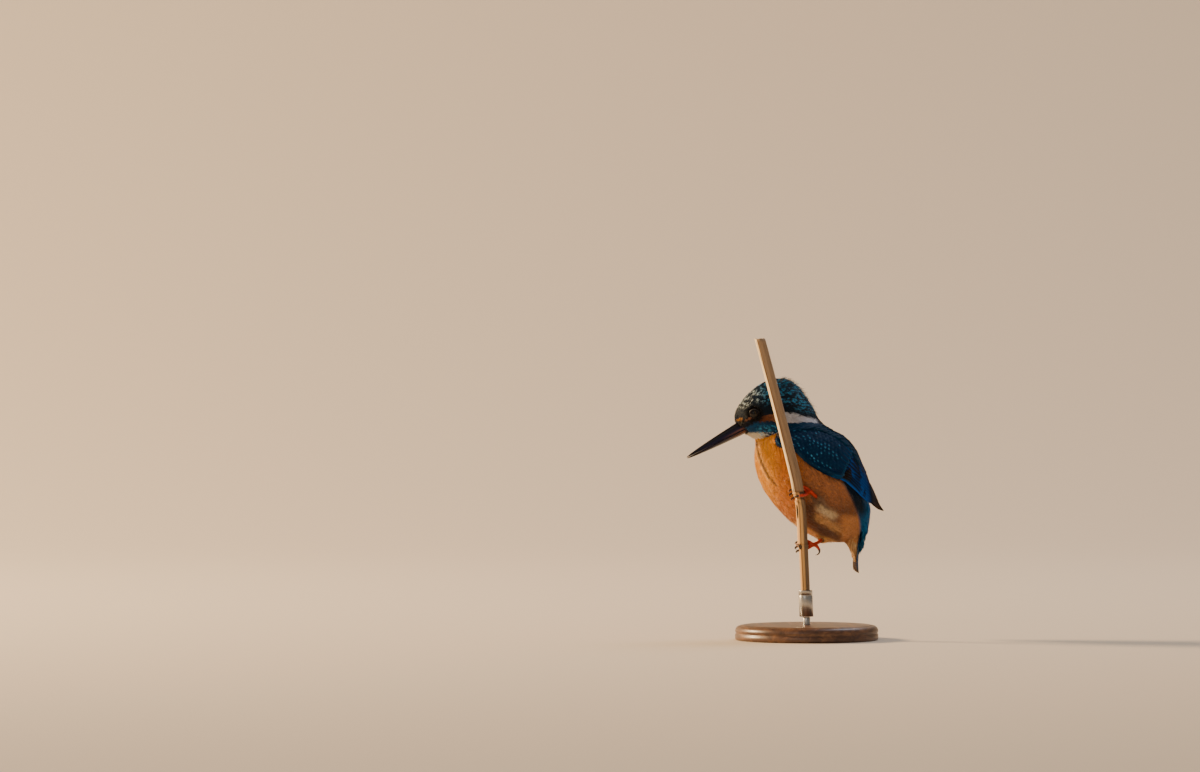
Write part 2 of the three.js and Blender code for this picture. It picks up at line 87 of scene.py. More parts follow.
def new_material(name, roughness, ior=1.5, metallic=0.0, **values):
    """A material with one Principled shader. Returns the material, its tree and the shader."""
    material = bpy.data.materials.new(name)
    material.use_nodes = True
    tree = material.node_tree
    tree.nodes.clear()
    settings = {"Roughness": roughness, "IOR": ior, "Metallic": metallic}
    settings.update({key.replace("_", " "): value for key, value in values.items()})
    shader = add_node(tree, "ShaderNodeBsdfPrincipled", settings)
    add_node(tree, "ShaderNodeOutputMaterial", links={"Surface": shader.outputs["BSDF"]})
    return material, tree, shader


def soft_box(name, place, size, power, colour):
    """A square soft box that faces the bird's middle."""
    data = bpy.data.lights.new(name, "AREA")
    data.shape = "RECTANGLE"
    data.size, data.size_y = size
    data.energy = power
    data.color = linear(colour)
    light = bpy.data.objects.new(name, data)
    light.location = place
    light.rotation_euler = (Vector(place) - BIRD_MIDDLE).to_track_quat("Z", "Y").to_euler()
    bpy.context.collection.objects.link(light)


soft_box("key_light", (-0.8, -2.3, 1.05), (0.5, 0.5), 175, "ffd9a6")
soft_box("fill_light", (2.3, -1.1, 1.2), (1.2, 0.9), 8, "fff0e0")
soft_box("top_light", (-0.9, 0.9, 2.0), (1.2, 1.2), 22, "eef2ff")

world = bpy.data.worlds.new("studio_air")
bpy.context.scene.world = world
world.use_nodes = True
world.node_tree.nodes["Background"].inputs["Color"].default_value = (*linear("efe6dc"), 1)
world.node_tree.nodes["Background"].inputs["Strength"].default_value = 0.32

# The sweep is matt paper, with no gloss to speak of, so that the floor stays plain.
SWEEP_BACK, SWEEP_CURVE, SWEEP_HALF = 1.2, 1.4, 5.0  # m
sweep_profile = [(9.0, 0.0), (-SWEEP_BACK, 0.0)]
for a in np.linspace(0.08, 1.5708, 20):
    sweep_profile.append((-SWEEP_BACK - SWEEP_CURVE * math.sin(a), SWEEP_CURVE - SWEEP_CURVE * math.cos(a)))
sweep_profile.append((-SWEEP_BACK - SWEEP_CURVE, SWEEP_HALF))
sweep_points = [(x, y, z) for x, z in sweep_profile for y in (-SWEEP_HALF, SWEEP_HALF)]
sweep_faces = [(2 * i, 2 * i + 1, 2 * i + 3, 2 * i + 2) for i in range(len(sweep_profile) - 1)]
sweep_mesh = bpy.data.meshes.new("paper_sweep")
sweep_mesh.from_pydata(sweep_points, [], sweep_faces)
sweep_mesh.polygons.foreach_set("use_smooth", [True] * len(sweep_faces))
sweep = bpy.data.objects.new("paper_sweep", sweep_mesh)
bpy.context.collection.objects.link(sweep)
sweep_mesh.materials.append(new_material("matt_paper", 0.9, 1.45, Base_Color=(*linear("d8cbb9"), 1))[0])

# ---------------------------------------------------------------------------
# Display stand. A disc of walnut turned on a lathe, with a rounded upper edge and a fine
# bead, waxed. A short steel rod is driven into it and carries a thin turned steel cup.


def circle(centre, radius, sides):
    """A level ring of points in mm."""
    angle = np.arange(sides) / sides * 2 * np.pi
    x, y = radius * np.cos(angle), radius * np.sin(angle)
    return np.stack([centre[0] + x, centre[1] + y, np.full(sides, centre[2])], -1)


def ring_body(name, rings, material, closed=False, grain=None):
    """A piece through rings of equally many points, in mm, riding on the part.

    Its flat ends stay sharp. With closed, the last ring joins the first instead. grain is each
    point's place in the fibres or scales. rings may be a tuple of several bodies' rings, and
    those are smooth all over."""
    made = bmesh.new()
    several = isinstance(rings, tuple)
    for body in rings if several else (rings,):
        dots = [[made.verts.new(p / 1000) for p in ring] for ring in np.asarray(body)]
        own = []
        for a, b in zip(dots, dots[1:] + dots[:1] if closed else dots[1:]):
            for j in range(len(a)):
                k = (j + 1) % len(a)
                own.append(made.faces.new((a[j], a[k], b[k], b[j])))
        if not closed:
            own += [made.faces.new(dots[0]), made.faces.new(dots[-1])]
        bmesh.ops.recalc_face_normals(made, faces=own)
    mesh = bpy.data.meshes.new(name)
    made.to_mesh(mesh)
    made.free()
    mesh.polygons.foreach_set("use_smooth", [several or len(f.vertices) == 4 for f in mesh.polygons])
    if grain is not None:
        layer = mesh.attributes.new("grain", "FLOAT_VECTOR", "POINT")
        layer.data.foreach_set("vector", np.asarray(grain, np.float32).ravel())
    mesh.materials.append(material)
    piece = bpy.data.objects.new(name, mesh)
    bpy.context.collection.objects.link(piece)
    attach(piece, "root")
    return piece


def colour_stops(ramp, stops):
    """Sets a colour ramp's stops, each its place and an sRGB hex colour."""
    elements = ramp.color_ramp.elements
    for i, (at, shade) in enumerate(stops):
        stop = elements[i] if i < 2 else elements.new(at)
        stop.position = at
        stop.color = (*linear(shade), 1)


# Walnut: brown with darker rings 4 to 6 mm wide and fine pores, half gloss from wax.
walnut, tree, shader = new_material("waxed_walnut", 0.42, 1.5, Coat_Weight=0.25, Coat_Roughness=0.3)
place = add_node(tree, "ShaderNodeTexCoord").outputs["Object"]
grain = []
for scale, noise in (((14.0, 160.0, 260.0), {"Detail": 5.0, "Roughness": 0.62, "Distortion": 0.8}),
                     ((120.0, 1500.0, 2200.0), {"Detail": 1.0})):
    stretch = add_node(tree, "ShaderNodeMapping", {"Scale": scale}, {"Vector": place})
    along = {"Vector": stretch.outputs["Vector"]}
    grain.append(add_node(tree, "ShaderNodeTexNoise", {"Scale": 1.0, **noise}, along).outputs["Fac"])
rings, fine = grain
ramp = add_node(tree, "ShaderNodeValToRGB", links={"Fac": rings})
colour_stops(ramp, ((0.32, "3a2416"), (0.7, "7d5636"), (0.5, "5a3a24")))
pores = add_node(tree, "ShaderNodeBump", {"Strength": 0.25, "Distance": 0.0002}, {"Height": fine})
tree.links.new(ramp.outputs["Color"], shader.inputs["Base Color"])
tree.links.new(pores.outputs["Normal"], shader.inputs["Normal"])

base_profile = [(0.4, 0.25), (38.0, 0.25), (38.3, 0.0), (42.0, 0.0), (42.7, 0.35), (43.0, 1.0), (43.0, 3.6)]
base_profile += [(42.55, 3.9), (42.55, 4.4)]
for a in np.linspace(0, 1.45, 12):
    base_profile.append((43.0 - 3.2 * (1 - math.cos(a)), 5.3 + 3.4 * math.sin(a)))
base_profile += [(39.3, 8.55), (39.0, 8.85), (38.5, 9.0), (30.0, 9.0), (15.0, 9.0), (0.4, 9.0)]
stand_base = ring_body("display_base", [circle((0, 0, z), r, 160) for r, z in base_profile], walnut)
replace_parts(stand_base, "stand_base")


def grained_material(name, roughness, ior, per_mm, detail=2.0, harsh=0.5, tones=(), painted=None,
                     gloss=None, bump=None, **values):
    """A material with one noise worked into its surface, per_mm cells to a mm.

    tones are colour stops across the noise. painted has it multiply the plume colours, between
    two levels. gloss is its span of roughness. bump is its strength and its depth in m."""
    material, tree, shader = new_material(name, roughness, ior, **values)
    place = add_node(tree, "ShaderNodeTexCoord").outputs["Object"]
    scale = 1000.0 * np.array(per_mm)
    if scale.ndim:
        place = add_node(tree, "ShaderNodeMapping", {"Scale": scale}, {"Vector": place}).outputs["Vector"]
        scale = 1.0
    cells = {"Scale": float(scale), "Detail": detail, "Roughness": harsh}
    noise = add_node(tree, "ShaderNodeTexNoise", cells, {"Vector": place}).outputs["Fac"]
    if tones:
        ramp = add_node(tree, "ShaderNodeValToRGB", links={"Fac": noise})
        colour_stops(ramp, tones)
        tree.links.new(ramp.outputs["Color"], shader.inputs["Base Color"])
    if painted:
        plume = add_node(tree, "ShaderNodeAttribute", attribute_name="plume")
        span = {"To Min": painted[0], "To Max": painted[1]}
        level = add_node(tree, "ShaderNodeMapRange", span, {"Value": noise})
        both = {6: plume.outputs["Color"], 7: level.outputs["Result"]}
        mixed = add_node(tree, "ShaderNodeMix", {"Factor": 1.0}, both, data_type="RGBA",
                         blend_type="MULTIPLY")
        tree.links.new(mixed.outputs[2], shader.inputs["Base Color"])
    if gloss:
        span = {"To Min": gloss[0], "To Max": gloss[1]}
        rough = add_node(tree, "ShaderNodeMapRange", span, {"Value": noise})
        tree.links.new(rough.outputs["Result"], shader.inputs["Roughness"])
    if bump:
        depth = {"Strength": bump[0], "Distance": bump[1]}
        relief = add_node(tree, "ShaderNodeBump", depth, {"Height": noise})
        tree.links.new(relief.outputs["Normal"], shader.inputs["Normal"])
    return material


# Turned steel: grey, with fine marks 0.2 mm apart round the axis, which streak its gloss.
steel = grained_material("turned_steel", 0.3, 1.5, (0.06, 0.06, 5.2), gloss=(0.2, 0.42),
                         bump=(0.12, 0.0001), metallic=1.0, Base_Color=(*linear("b4b2ae"), 1))

rod_axis = (0.6, -0.2)
rod_profile = [(0.2, 9.05), (2.2, 9.05), (2.2, 9.3), (2.2, 13.4), (2.05, 13.65), (0.2, 13.7)]
rod = ring_body("stand_pin", [circle((*rod_axis, z), r, 48) for r, z in rod_profile], steel)
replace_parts(rod, "stand_rod")

# ---------------------------------------------------------------------------
# Reed perch. A cut length of dead common reed: hollow cane in joints, each joint wrapped
# in the dry sheath of its leaf. The upper sheath is whole. The lower one has split and
# covers only half of its cane, torn off at a slant below the joint.

STEM = np.array([
    (0.6, -0.2, 14.0),
    (1.8, -0.8, 24.0),
    (4.0, -1.5, 36.0),
    (8.6, -3.0, 57.0),
    (13.4, -4.7, 80.0),
    (15.6, -6.7, 89.0),
    (17.4, -8.6, 98.0),
    (20.8, -17.8, 133.0),
    (24.2, -27.3, 168.0),
    (25.6, -31.5, 183.0),
])
UPPER_JOINT = 87.4


def stem_at(z):
    """The middle of the stem at a height, in mm."""
    i = int(np.clip(np.searchsorted(STEM[:, 2], z, side="right") - 1, 0, len(STEM) - 2))
    t = (z - STEM[i, 2]) / (STEM[i + 1, 2] - STEM[i, 2])
    before, after = STEM[max(i - 1, 0)], STEM[min(i + 2, len(STEM) - 1)]
    rise = STEM[i + 1, 2] - STEM[i, 2]
    m0 = (STEM[i + 1] - before) / (STEM[i + 1, 2] - before[2]) * rise
    m1 = (after - STEM[i]) / (after[2] - STEM[i, 2]) * rise
    place = ((2 * t**3 - 3 * t**2 + 1) * STEM[i] + (t**3 - 2 * t**2 + t) * m0
             + (3 * t**2 - 2 * t**3) * STEM[i + 1] + (t**3 - t**2) * m1)
    return np.array([place[0], place[1], z])


def reed_material(name, pale, dark, sunlit_tone, edge, streak, roughness):
    """Dry reed: straw brown in fibres 0.2 mm wide that run along the stem, with age specks.

    Its left side, from edge mm right of the middle leftward, is painted paler as painted sunlight,
    with a rusty streak inside the pale part, at streak mm."""
    material, tree, shader = new_material(name, roughness, 1.5)
    along = add_node(tree, "ShaderNodeAttribute", attribute_name="grain")
    noise = []
    # Fibres, then stains 2 mm wide and 30 mm long, then specks 0.8 mm across.
    for scale, detail in (((4.5, 4.5, 0.05), 3.0), ((0.45, 0.45, 0.035), 4.0), ((1.3, 1.3, 0.5), 3.0)):
        spread = add_node(tree, "ShaderNodeMapping", {"Scale": scale}, {"Vector": along.outputs["Vector"]})
        made = add_node(tree, "ShaderNodeTexNoise", {"Scale": 1.0, "Detail": detail, "Roughness": 0.7},
                        {"Vector": spread.outputs["Vector"]})
        noise.append(made.outputs["Fac"])
    fibres, stain, speckle = noise
    both = add_node(tree, "ShaderNodeMix", {"Factor": 0.5}, {"A": fibres, "B": stain}, data_type="FLOAT")
    ramp = add_node(tree, "ShaderNodeValToRGB", links={"Fac": both.outputs["Result"]})
    colour_stops(ramp, ((0.34, dark), (0.62, pale)))
    parted = add_node(tree, "ShaderNodeSeparateXYZ", links={"Vector": along.outputs["Vector"]})
    ragged = add_node(tree, "ShaderNodeMath", {1: 0.7}, {0: stain, 2: parted.outputs["Y"]},
                      operation="MULTIPLY_ADD").outputs["Value"]
    # Painted sunlight: the tone goes paler left of the edge line.
    painted_sunlight = add_node(tree, "ShaderNodeMapRange", {"From Min": edge + 0.6, "From Max": edge + 0.2},
                      {"Value": ragged}).outputs["Result"]
    offset = add_node(tree, "ShaderNodeMath", {1: streak + 0.35}, {0: ragged}, operation="SUBTRACT")
    away = add_node(tree, "ShaderNodeMath", links={0: offset.outputs["Value"]}, operation="ABSOLUTE")
    rust = add_node(tree, "ShaderNodeMapRange", {"From Min": 0.45, "From Max": 0.15, "To Max": 0.8},
                    {"Value": away.outputs["Value"]}).outputs["Result"]
    specks = add_node(tree, "ShaderNodeMapRange", {"From Min": 0.63, "From Max": 0.74, "To Max": 0.65},
                      {"Value": speckle}).outputs["Result"]
    tone = ramp.outputs["Color"]
    for share, shade in ((painted_sunlight, sunlit_tone), (rust, "6e4215"), (specks, "4a3524")):
        layer = add_node(tree, "ShaderNodeMix", data_type="RGBA")
        tree.links.new(share, layer.inputs[0])
        tree.links.new(tone, layer.inputs[6])
        layer.inputs[7].default_value = (*linear(shade), 1)
        tone = layer.outputs[2]
    bump = add_node(tree, "ShaderNodeBump", {"Strength": 0.5, "Distance": 0.00012}, {"Height": fibres})
    tree.links.new(tone, shader.inputs["Base Color"])
    tree.links.new(bump.outputs["Normal"], shader.inputs["Normal"])
    return material


# Each is painted paler on its left side as sunlight: the upper sheath in a narrow strip, the lower sheath
# and cane over their left halves.
dry_sheath = reed_material("dry_leaf_sheath", "ac9070", "735c46", "ecd5a8", -2.3, -1.9, 0.62)
lower_skin = reed_material("lower_leaf_sheath", "8a6e50", "5e4936", "d9ab6c", 0.0, -1.7, 0.62)
dry_cane = reed_material("weathered_cane", "866c4e", "584532", "d9ab6c", 0.0, -1.5, 0.5)


def stem_rings(heights, radii, sides, ridges=0.0, phase=0.0):
    """Rings round the stem with shallow ribs, and each point's straightened place."""
    angle = np.arange(sides) / sides * 2 * np.pi
    rings, grain = [], []
    for z, r in zip(heights, radii):
        centre = stem_at(z)
        rib = r + ridges * (np.sin(angle * 9 + phase) + 0.6 * np.sin(angle * 17 + 2 * phase))
        rings.append(np.stack([centre[0] + rib * np.cos(angle), centre[1] + rib * np.sin(angle),
                               np.full(sides, z)], -1))
        grain.append(np.stack([rib * np.cos(angle), rib * np.sin(angle), np.full(sides, z)], -1))
    return np.array(rings), np.array(grain)


# Upper joint: the whole sheath, hollow at the cut top, with a ragged rim.
SHEATH_TAPER = [89.6, 112, 135, 158, 181], [3.55, 3.4, 3.35, 3.3, 3.2]  # mm, heights and radii there
heights = list(np.linspace(UPPER_JOINT + 2.2, 181.2, 60))
radii = list(np.interp(heights, *SHEATH_TAPER))
outer, outer_grain = stem_rings(heights, radii, 72, 0.035, 0.4)
rim_angle = np.arange(72) / 72 * 2 * np.pi
ragged = 0.35 * np.sin(rim_angle * 3 + 1) + 0.25 * np.sin(rim_angle * 11) * np.sin(rim_angle * 5)
outer[-1, :, 2] += 0.2 + ragged * 0.6
inner, inner_grain = stem_rings([181.0, 176.0, 168.0], [2.35, 2.3, 2.25], 72)
inner[0, :, 2] += 0.2 + ragged * 0.6
rim = (outer[-1] + inner[0]) / 2 + np.array([0, 0, 0.12])
rings = np.concatenate([outer, rim[None], inner])
grain = np.concatenate([outer_grain, (outer_grain[-1] + inner_grain[0])[None] / 2, inner_grain])
reed_upper = ring_body("reed_upper_sheath", rings, dry_sheath, grain=grain)
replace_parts(reed_upper, "reed_upper")

# Overlap of the upper sheath: its free edge runs up the stem as a thin raised lap.
lap_rings, lap_grain = [], []
for z in np.linspace(90.2, 172.0, 70):
    centre = stem_at(z)
    start = math.radians(-58 + 9 * math.sin(z / 19))
    fade = min(1, (172.5 - z) / 20) * min(1, (z - 89) / 3)
    lifted = 0.1 * fade
    section = [(0, 3.3), (0, 3.52 + lifted), (0.22, 3.58 + lifted), (0.55, 3.5), (0.6, 3.3), (0.3, 3.2)]
    r0 = np.interp(z, *SHEATH_TAPER) - 3.4
    ring = []
    for a, r in section:
        angle = start + a * fade
        ring.append(((r + r0) * math.cos(angle), (r + r0) * math.sin(angle)))
    lap_rings.append([(centre[0] + x, centre[1] + y, z) for x, y in ring])
    lap_grain.append([(x, y, z) for x, y in ring])
lap = ring_body("reed_sheath_lap", lap_rings, dry_sheath, grain=lap_grain)

# The joint: a swollen ring with a scar line below it, where the upper sheath is attached.
heights = [86.15, 86.4, 86.9, 87.3, 87.6, 87.9, 88.3, 88.8, 89.2, 89.35]
radii = [3.15, 3.3, 3.45, 3.4, 3.15, 3.5, 3.75, 3.7, 3.5, 3.3]
rings, grain = stem_rings(heights, radii, 72, 0.03, 1.1)
joint = ring_body("reed_joint_ring", rings, dry_cane, grain=grain)
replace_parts(joint, "reed_joint")

# Lower joint: bare cane, with its own ring at the lower foot's height.
heights = list(np.linspace(20.5, 54.9, 26)) + [55.3, 55.7, 56.1, 56.4, 56.7, 57.1, 57.5, 57.9]
heights += list(np.linspace(58.4, 85.8, 20))
ring_swell = [0.1, 0.35, 0.42, 0.1, 0.3, 0.42, 0.3, 0.08]
radii = [2.7] * 26 + [2.7 + s for s in ring_swell] + [2.7] * 20
rings, grain = stem_rings(heights, radii, 64, 0.025, 2.0)
cane = ring_body("reed_cane_bare", rings, dry_cane, grain=grain)
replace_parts(cane, "reed_cane")


def unit(vectors):
    """Vectors made one long."""
    return vectors / np.maximum(np.linalg.norm(vectors, axis=-1, keepdims=True), 1e-9)


def stem_patch(name, middle, height, width, lift, material):
    """A thin lens on the stem's surface: middle is angle and z, height and width are in mm."""
    angle, z0 = middle
    rows, grain = [], []
    for t in np.linspace(-0.98, 0.98, 15):
        z = z0 + t * height / 2
        centre = stem_at(z)
        reach = width / 2 * math.sqrt(1 - t * t)
        q = np.concatenate([np.linspace(-1, 1, 9), np.linspace(0.8, -0.8, 7)])
        r = np.concatenate([lift + 0.12 * (1 - q[:9] ** 2), np.full(7, lift - 0.35)])
        a = angle + q * reach / lift
        ring = np.stack([r * np.cos(a), r * np.sin(a), np.full(16, z)], -1)
        grain.append(ring)
        rows.append(ring + [centre[0], centre[1], 0])
    ring_body(name, rows, material, grain=grain)


def mottled_bark(name, pale, dark, roughness, per_mm):
    """Dry bark-like skin: matt, in two tones with spots and pits, per_mm of them to a mm."""
    tones = (0.38, dark), (0.62, pale)
    return grained_material(name, roughness, 1.45, per_mm, 3.0, tones=tones, bump=(0.5, 0.0001))


# At the lower ring a leaf has dropped: its brown scar of cork, speckled every half mm, and
# beside it a resting bud, its scale speckled every 0.7 mm.
scar_cork = mottled_bark("leaf_scar_cork", "55402c", "24170e", 0.8, 2.4)
stem_patch("leaf_scar", (math.radians(-47), 56.3), 3.2, 2.6, 3.13, scar_cork)
bud_skin = mottled_bark("bud_scale", "e6c4a8", "b98a66", 0.55, 1.5)
bud_root = np.array([*(np.array(stem_at(56.6))[:2] + 2.7 * np.array([0.2, -0.98])), 56.6])
bud_way = unit(np.array([0.15, -0.8, 0.58]))
bud_rings = []
for t in np.linspace(0, 1, 14):
    size = 0.95 * math.sin(math.pi * (0.12 + 0.86 * t)) ** 0.8
    turned = np.arange(18) / 18 * 2 * np.pi
    flat = np.stack([np.cos(turned), 0 * turned, np.sin(turned)], -1)
    flat = flat - np.outer(flat @ bud_way, bud_way)
    bud_rings.append(bud_root + bud_way * 2.9 * t + flat * size)
bud = ring_body("resting_bud", bud_rings, bud_skin)

# Lower sheath: a curled half tube with a thin wall, its edges frayed and its top torn.
arc_middle = math.radians(-73)
sheath_rows, sheath_grain = [], []
for z in np.linspace(57.9, 84.2, 40):
    centre = stem_at(z)
    open_left = 1.55 + 0.07 * math.sin(z * 1.7) + 0.05 * math.sin(z * 4.1)
    open_right = 1.5 + 0.06 * math.sin(z * 1.3 + 2) + 0.05 * math.sin(z * 5.3)
    top = np.clip((z - 79.5) / 4.7, 0, 1)
    open_left -= 1.25 * top**1.4
    span = np.linspace(-open_right, open_left, 30)
    swell = 0.1 * math.sin(z * 0.35) + 0.18 * top
    lift = np.abs(span / 1.5) ** 6 * 0.16
    wave = 0.02 * np.sin(span * 14)
    out = np.stack([np.cos(arc_middle + span), np.sin(arc_middle + span)], -1)
    r_out, r_in = 3.32 + swell * 0.5 + lift + wave, 3.05 + lift * 0.8 + swell * 0.3
    ring = np.concatenate([out * r_out[:, None], (out * r_in[:, None])[::-1]])
    sheath_rows.append(np.concatenate([ring + centre[:2], np.full((60, 1), z)], 1))
    sheath_grain.append(np.concatenate([ring, np.full((60, 1), z)], 1))
sheath = ring_body("reed_lower_sheath", sheath_rows, lower_skin, grain=sheath_grain)
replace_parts(sheath, "reed_sheath")

# The cup that takes the reed's foot: thin wall, rounded rim, one fine groove.
cup_profile = [(2.6, 14.05), (3.9, 14.05), (4.2, 14.35), (4.2, 26.6), (4.05, 26.8), (4.05, 27.2)]
cup_profile += [(4.2, 27.4), (4.2, 29.5), (4.1, 29.85), (3.8, 29.98), (3.3, 29.98), (3.08, 29.85)]
cup_profile += [(3.02, 29.5), (3.02, 20.4), (2.6, 20.3)]
cup = ring_body("stand_reed_cup", [circle(stem_at(z), r, 64) for r, z in cup_profile], steel)
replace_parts(cup, "stand_cup")

# A split in the lower sheath below the joint: a thin near-black lens on the sheath, painted shade
# of the hollow behind it, mottled in flecks about 1 mm across.
hollow = mottled_bark("sheath_split_shade", "241910", "0b0705", 0.9, 0.9)
stem_patch("sheath_split", (math.radians(-58), 77.6), 8.6, 1.6, 3.4, hollow)

# ---------------------------------------------------------------------------
# Skin. One closed skin over head, neck, body, thighs and the arms of the wings. It lies
# below the feather tips by the depth of the plumage, and it carries the same markings,
# because the bases of a bird's feathers show between their tips.

MEDIAN = -12.0  # mm, the bird's median plane
HEAD_TURN = math.radians(10)
HEAD_PIVOT = -14.0  # mm, where the neck's axis stands

# Stations from front to rear, in mm: back y, back z, belly y, belly z, half width, sag.
HEAD_STATIONS = np.array([
    (-43.6, 131.5, -38.8, 124.8, 3.8, 0),
    (-42.6, 137.2, -35.6, 122.6, 7.6, 0.08),
    (-38.3, 144.1, -31.8, 120.6, 10.2, 0.16),
    (-32.0, 150.3, -27.8, 118.0, 12.2, 0.22),
    (-24.6, 155.2, -21.4, 117.0, 13.6, 0.26),
    (-14.8, 157.5, -13.6, 116.5, 14.4, 0.28),
    (-6.6, 154.4, -6.0, 117.0, 14.4, 0.3),
    (0.4, 146.7, 1.2, 118.0, 13.2, 0.28),
    (6.5, 136.8, 5.6, 119.5, 10.6, 0.2),
    (10.6, 129.8, 8.0, 121.0, 6.0, 0),
])
TRUNK_STATIONS = np.array([
    (3.0, 139.0, -22.0, 133.0, 11.5, 0),
    (9.8, 131.4, -27.2, 125.2, 15.2, 0),
    (15.6, 126.2, -29.8, 118.0, 19.4, 0.02),
    (22.5, 122.4, -30.6, 109.0, 22.6, 0.05),
    (28.4, 115.0, -29.2, 99.4, 24.6, 0.06),
    (33.0, 105.4, -24.4, 88.4, 25.4, 0.08),
    (36.4, 95.6, -15.8, 76.8, 24.6, 0.08),
    (38.8, 86.4, -5.0, 66.4, 22.4, 0.06),
    (39.4, 78.6, 7.0, 59.9, 18.6, 0.02),
    (38.6, 72.4, 17.6, 57.0, 13.4, 0),
    (37.4, 67.6, 25.0, 59.4, 8.0, 0),
])


def head_to_world(points):
    """Points in mm in the head's own frame, turned and set on the bird."""
    y = points[..., 1] - HEAD_PIVOT
    c, s = math.cos(HEAD_TURN), math.sin(HEAD_TURN)
    x = points[..., 0]
    return np.stack([MEDIAN + x * c - y * s, HEAD_PIVOT + x * s + y * c, points[..., 2]], -1)


def world_to_head(points):
    x = points[..., 0] - MEDIAN
    y = points[..., 1] - HEAD_PIVOT
    c, s = math.cos(HEAD_TURN), math.sin(HEAD_TURN)
    return np.stack([x * c + y * s, HEAD_PIVOT - x * s + y * c, points[..., 2]], -1)


def body_to_world(points):
    return points + np.array([MEDIAN, 0.0, 0.0])


def step(low, high, value):
    """0 below low, 1 above high, and smooth between."""
    t = np.clip((value - low) / (high - low), 0, 1)
    return t * t * (3 - 2 * t)


def blend(first, second, share):
    """Two colours mixed at each point, each an sRGB hex colour or linear values."""
    first, second = (np.array(linear(c)) if isinstance(c, str) else c for c in (first, second))
    return first + (second - first) * np.asarray(share)[..., None]


def off_path(y, z, path):
    """Distance in mm from each point to a path in the side view, and how far along it is."""
    best = np.full(np.shape(y), 1e9)
    along = np.zeros(np.shape(y))
    path = np.array(path, float)
    for i in range(len(path) - 1):
        a, d = path[i], path[i + 1] - path[i]
        t = np.clip(((y - a[0]) * d[0] + (z - a[1]) * d[1]) / (d @ d), 0, 1)
        gap = np.hypot(y - a[0] - t * d[0], z - a[1] - t * d[1])
        nearer = gap < best
        best = np.where(nearer, gap, best)
        along = np.where(nearer, (i + t) / (len(path) - 1), along)
    return best, along


def ripple(points, size, seed):
    """Soft pattern between -1 and 1 whose patches are about size mm across."""
    value = 0
    rng = np.random.default_rng(seed)
    for _ in range(5):
        way = rng.normal(size=3)
        way *= 2 * np.pi / size / np.linalg.norm(way) * rng.uniform(0.6, 1.4)
        value = value + np.sin(points @ way + rng.uniform(0, 6.28))
    return value / 5


EYE_IN_HEAD = np.array([7.0, -33.0, 135.9])
MOUSTACHE = [(-35.5, 126.6), (-27, 126.8), (-17, 126.6), (-6, 125.6)]


def head_colour(points):
    """Markings of the head, from points in mm in the world."""
    p = world_to_head(points)
    side, y, z = np.abs(p[..., 0]), p[..., 1], p[..., 2]
    crown = step(140, 150, z) * step(2, -6, y)
    out = blend("071d2e", "09273c", 0.7 * crown)
    # Blue moustache from the gape back to the shoulder.
    gap, along = off_path(y, z, [*MOUSTACHE, (4, 125.4)])
    out = blend(out, blend("104a78", "082744", along), step(4.6, 2.6, gap))
    # Rusty ear coverts behind the eye.
    gap, along = off_path(y, z, [(-30.5, 132.6), (-25, 133.6), (-18.5, 133.4)])
    out = blend(out, blend("5e2c10", "8e6044", along), step(2.9, 1.7, gap) * step(4, 7, side))
    # White blaze on the side of the neck.
    gap, along = off_path(y, z, [(-14, 133.2), (-8, 132.9), (-1, 131.5), (5.5, 130.4)])
    reach = 3.5 - 2.4 * along
    out = blend(out, "dfe0ea", step(reach + 0.6, reach - 0.7, gap) * step(3, 5, side))
    # Pale throat.
    throat = step(124.8, 123.0, z) * step(-24.5, -28.5, y)
    out = blend(out, "e2dac4", throat)
    # Near black round the eye.
    gap = np.hypot(y - EYE_IN_HEAD[1], z - EYE_IN_HEAD[2])
    out = blend(out, "070a0d", step(6.6, 4.6, gap) * step(3, 6, side))
    # Black line through the lore, with an orange spot above it by the bill.
    gap, along = off_path(y, z, [(-43.5, 129.6), (-38, 132.2), (-34.5, 134.6)])
    out = blend(out, "0b0a0b", step(2.0, 1.1, gap))
    gap, along = off_path(y, z, [(-42.6, 132.6), (-40.2, 133.8)])
    out = blend(out, "a06a20", 0.8 * step(1.1, 0.4, gap) * step(1.5, 3, side))
    # The dark gape narrows back to a point below the eye, with a tan spot over it.
    gap, along = off_path(y, z, [(-40.6, 127.8), (-33.4, 130.1)])
    wide = 2.2 - 1.5 * along
    out = blend(out, "120d14", 0.93 * step(wide + 0.5, wide - 0.4, gap))
    gap, along = off_path(y, z, [(-37.0, 132.7), (-34.9, 133.3)])
    out = blend(out, "8f6048", 0.8 * step(1.0, 0.4, gap) * step(3, 5, side))
    return out


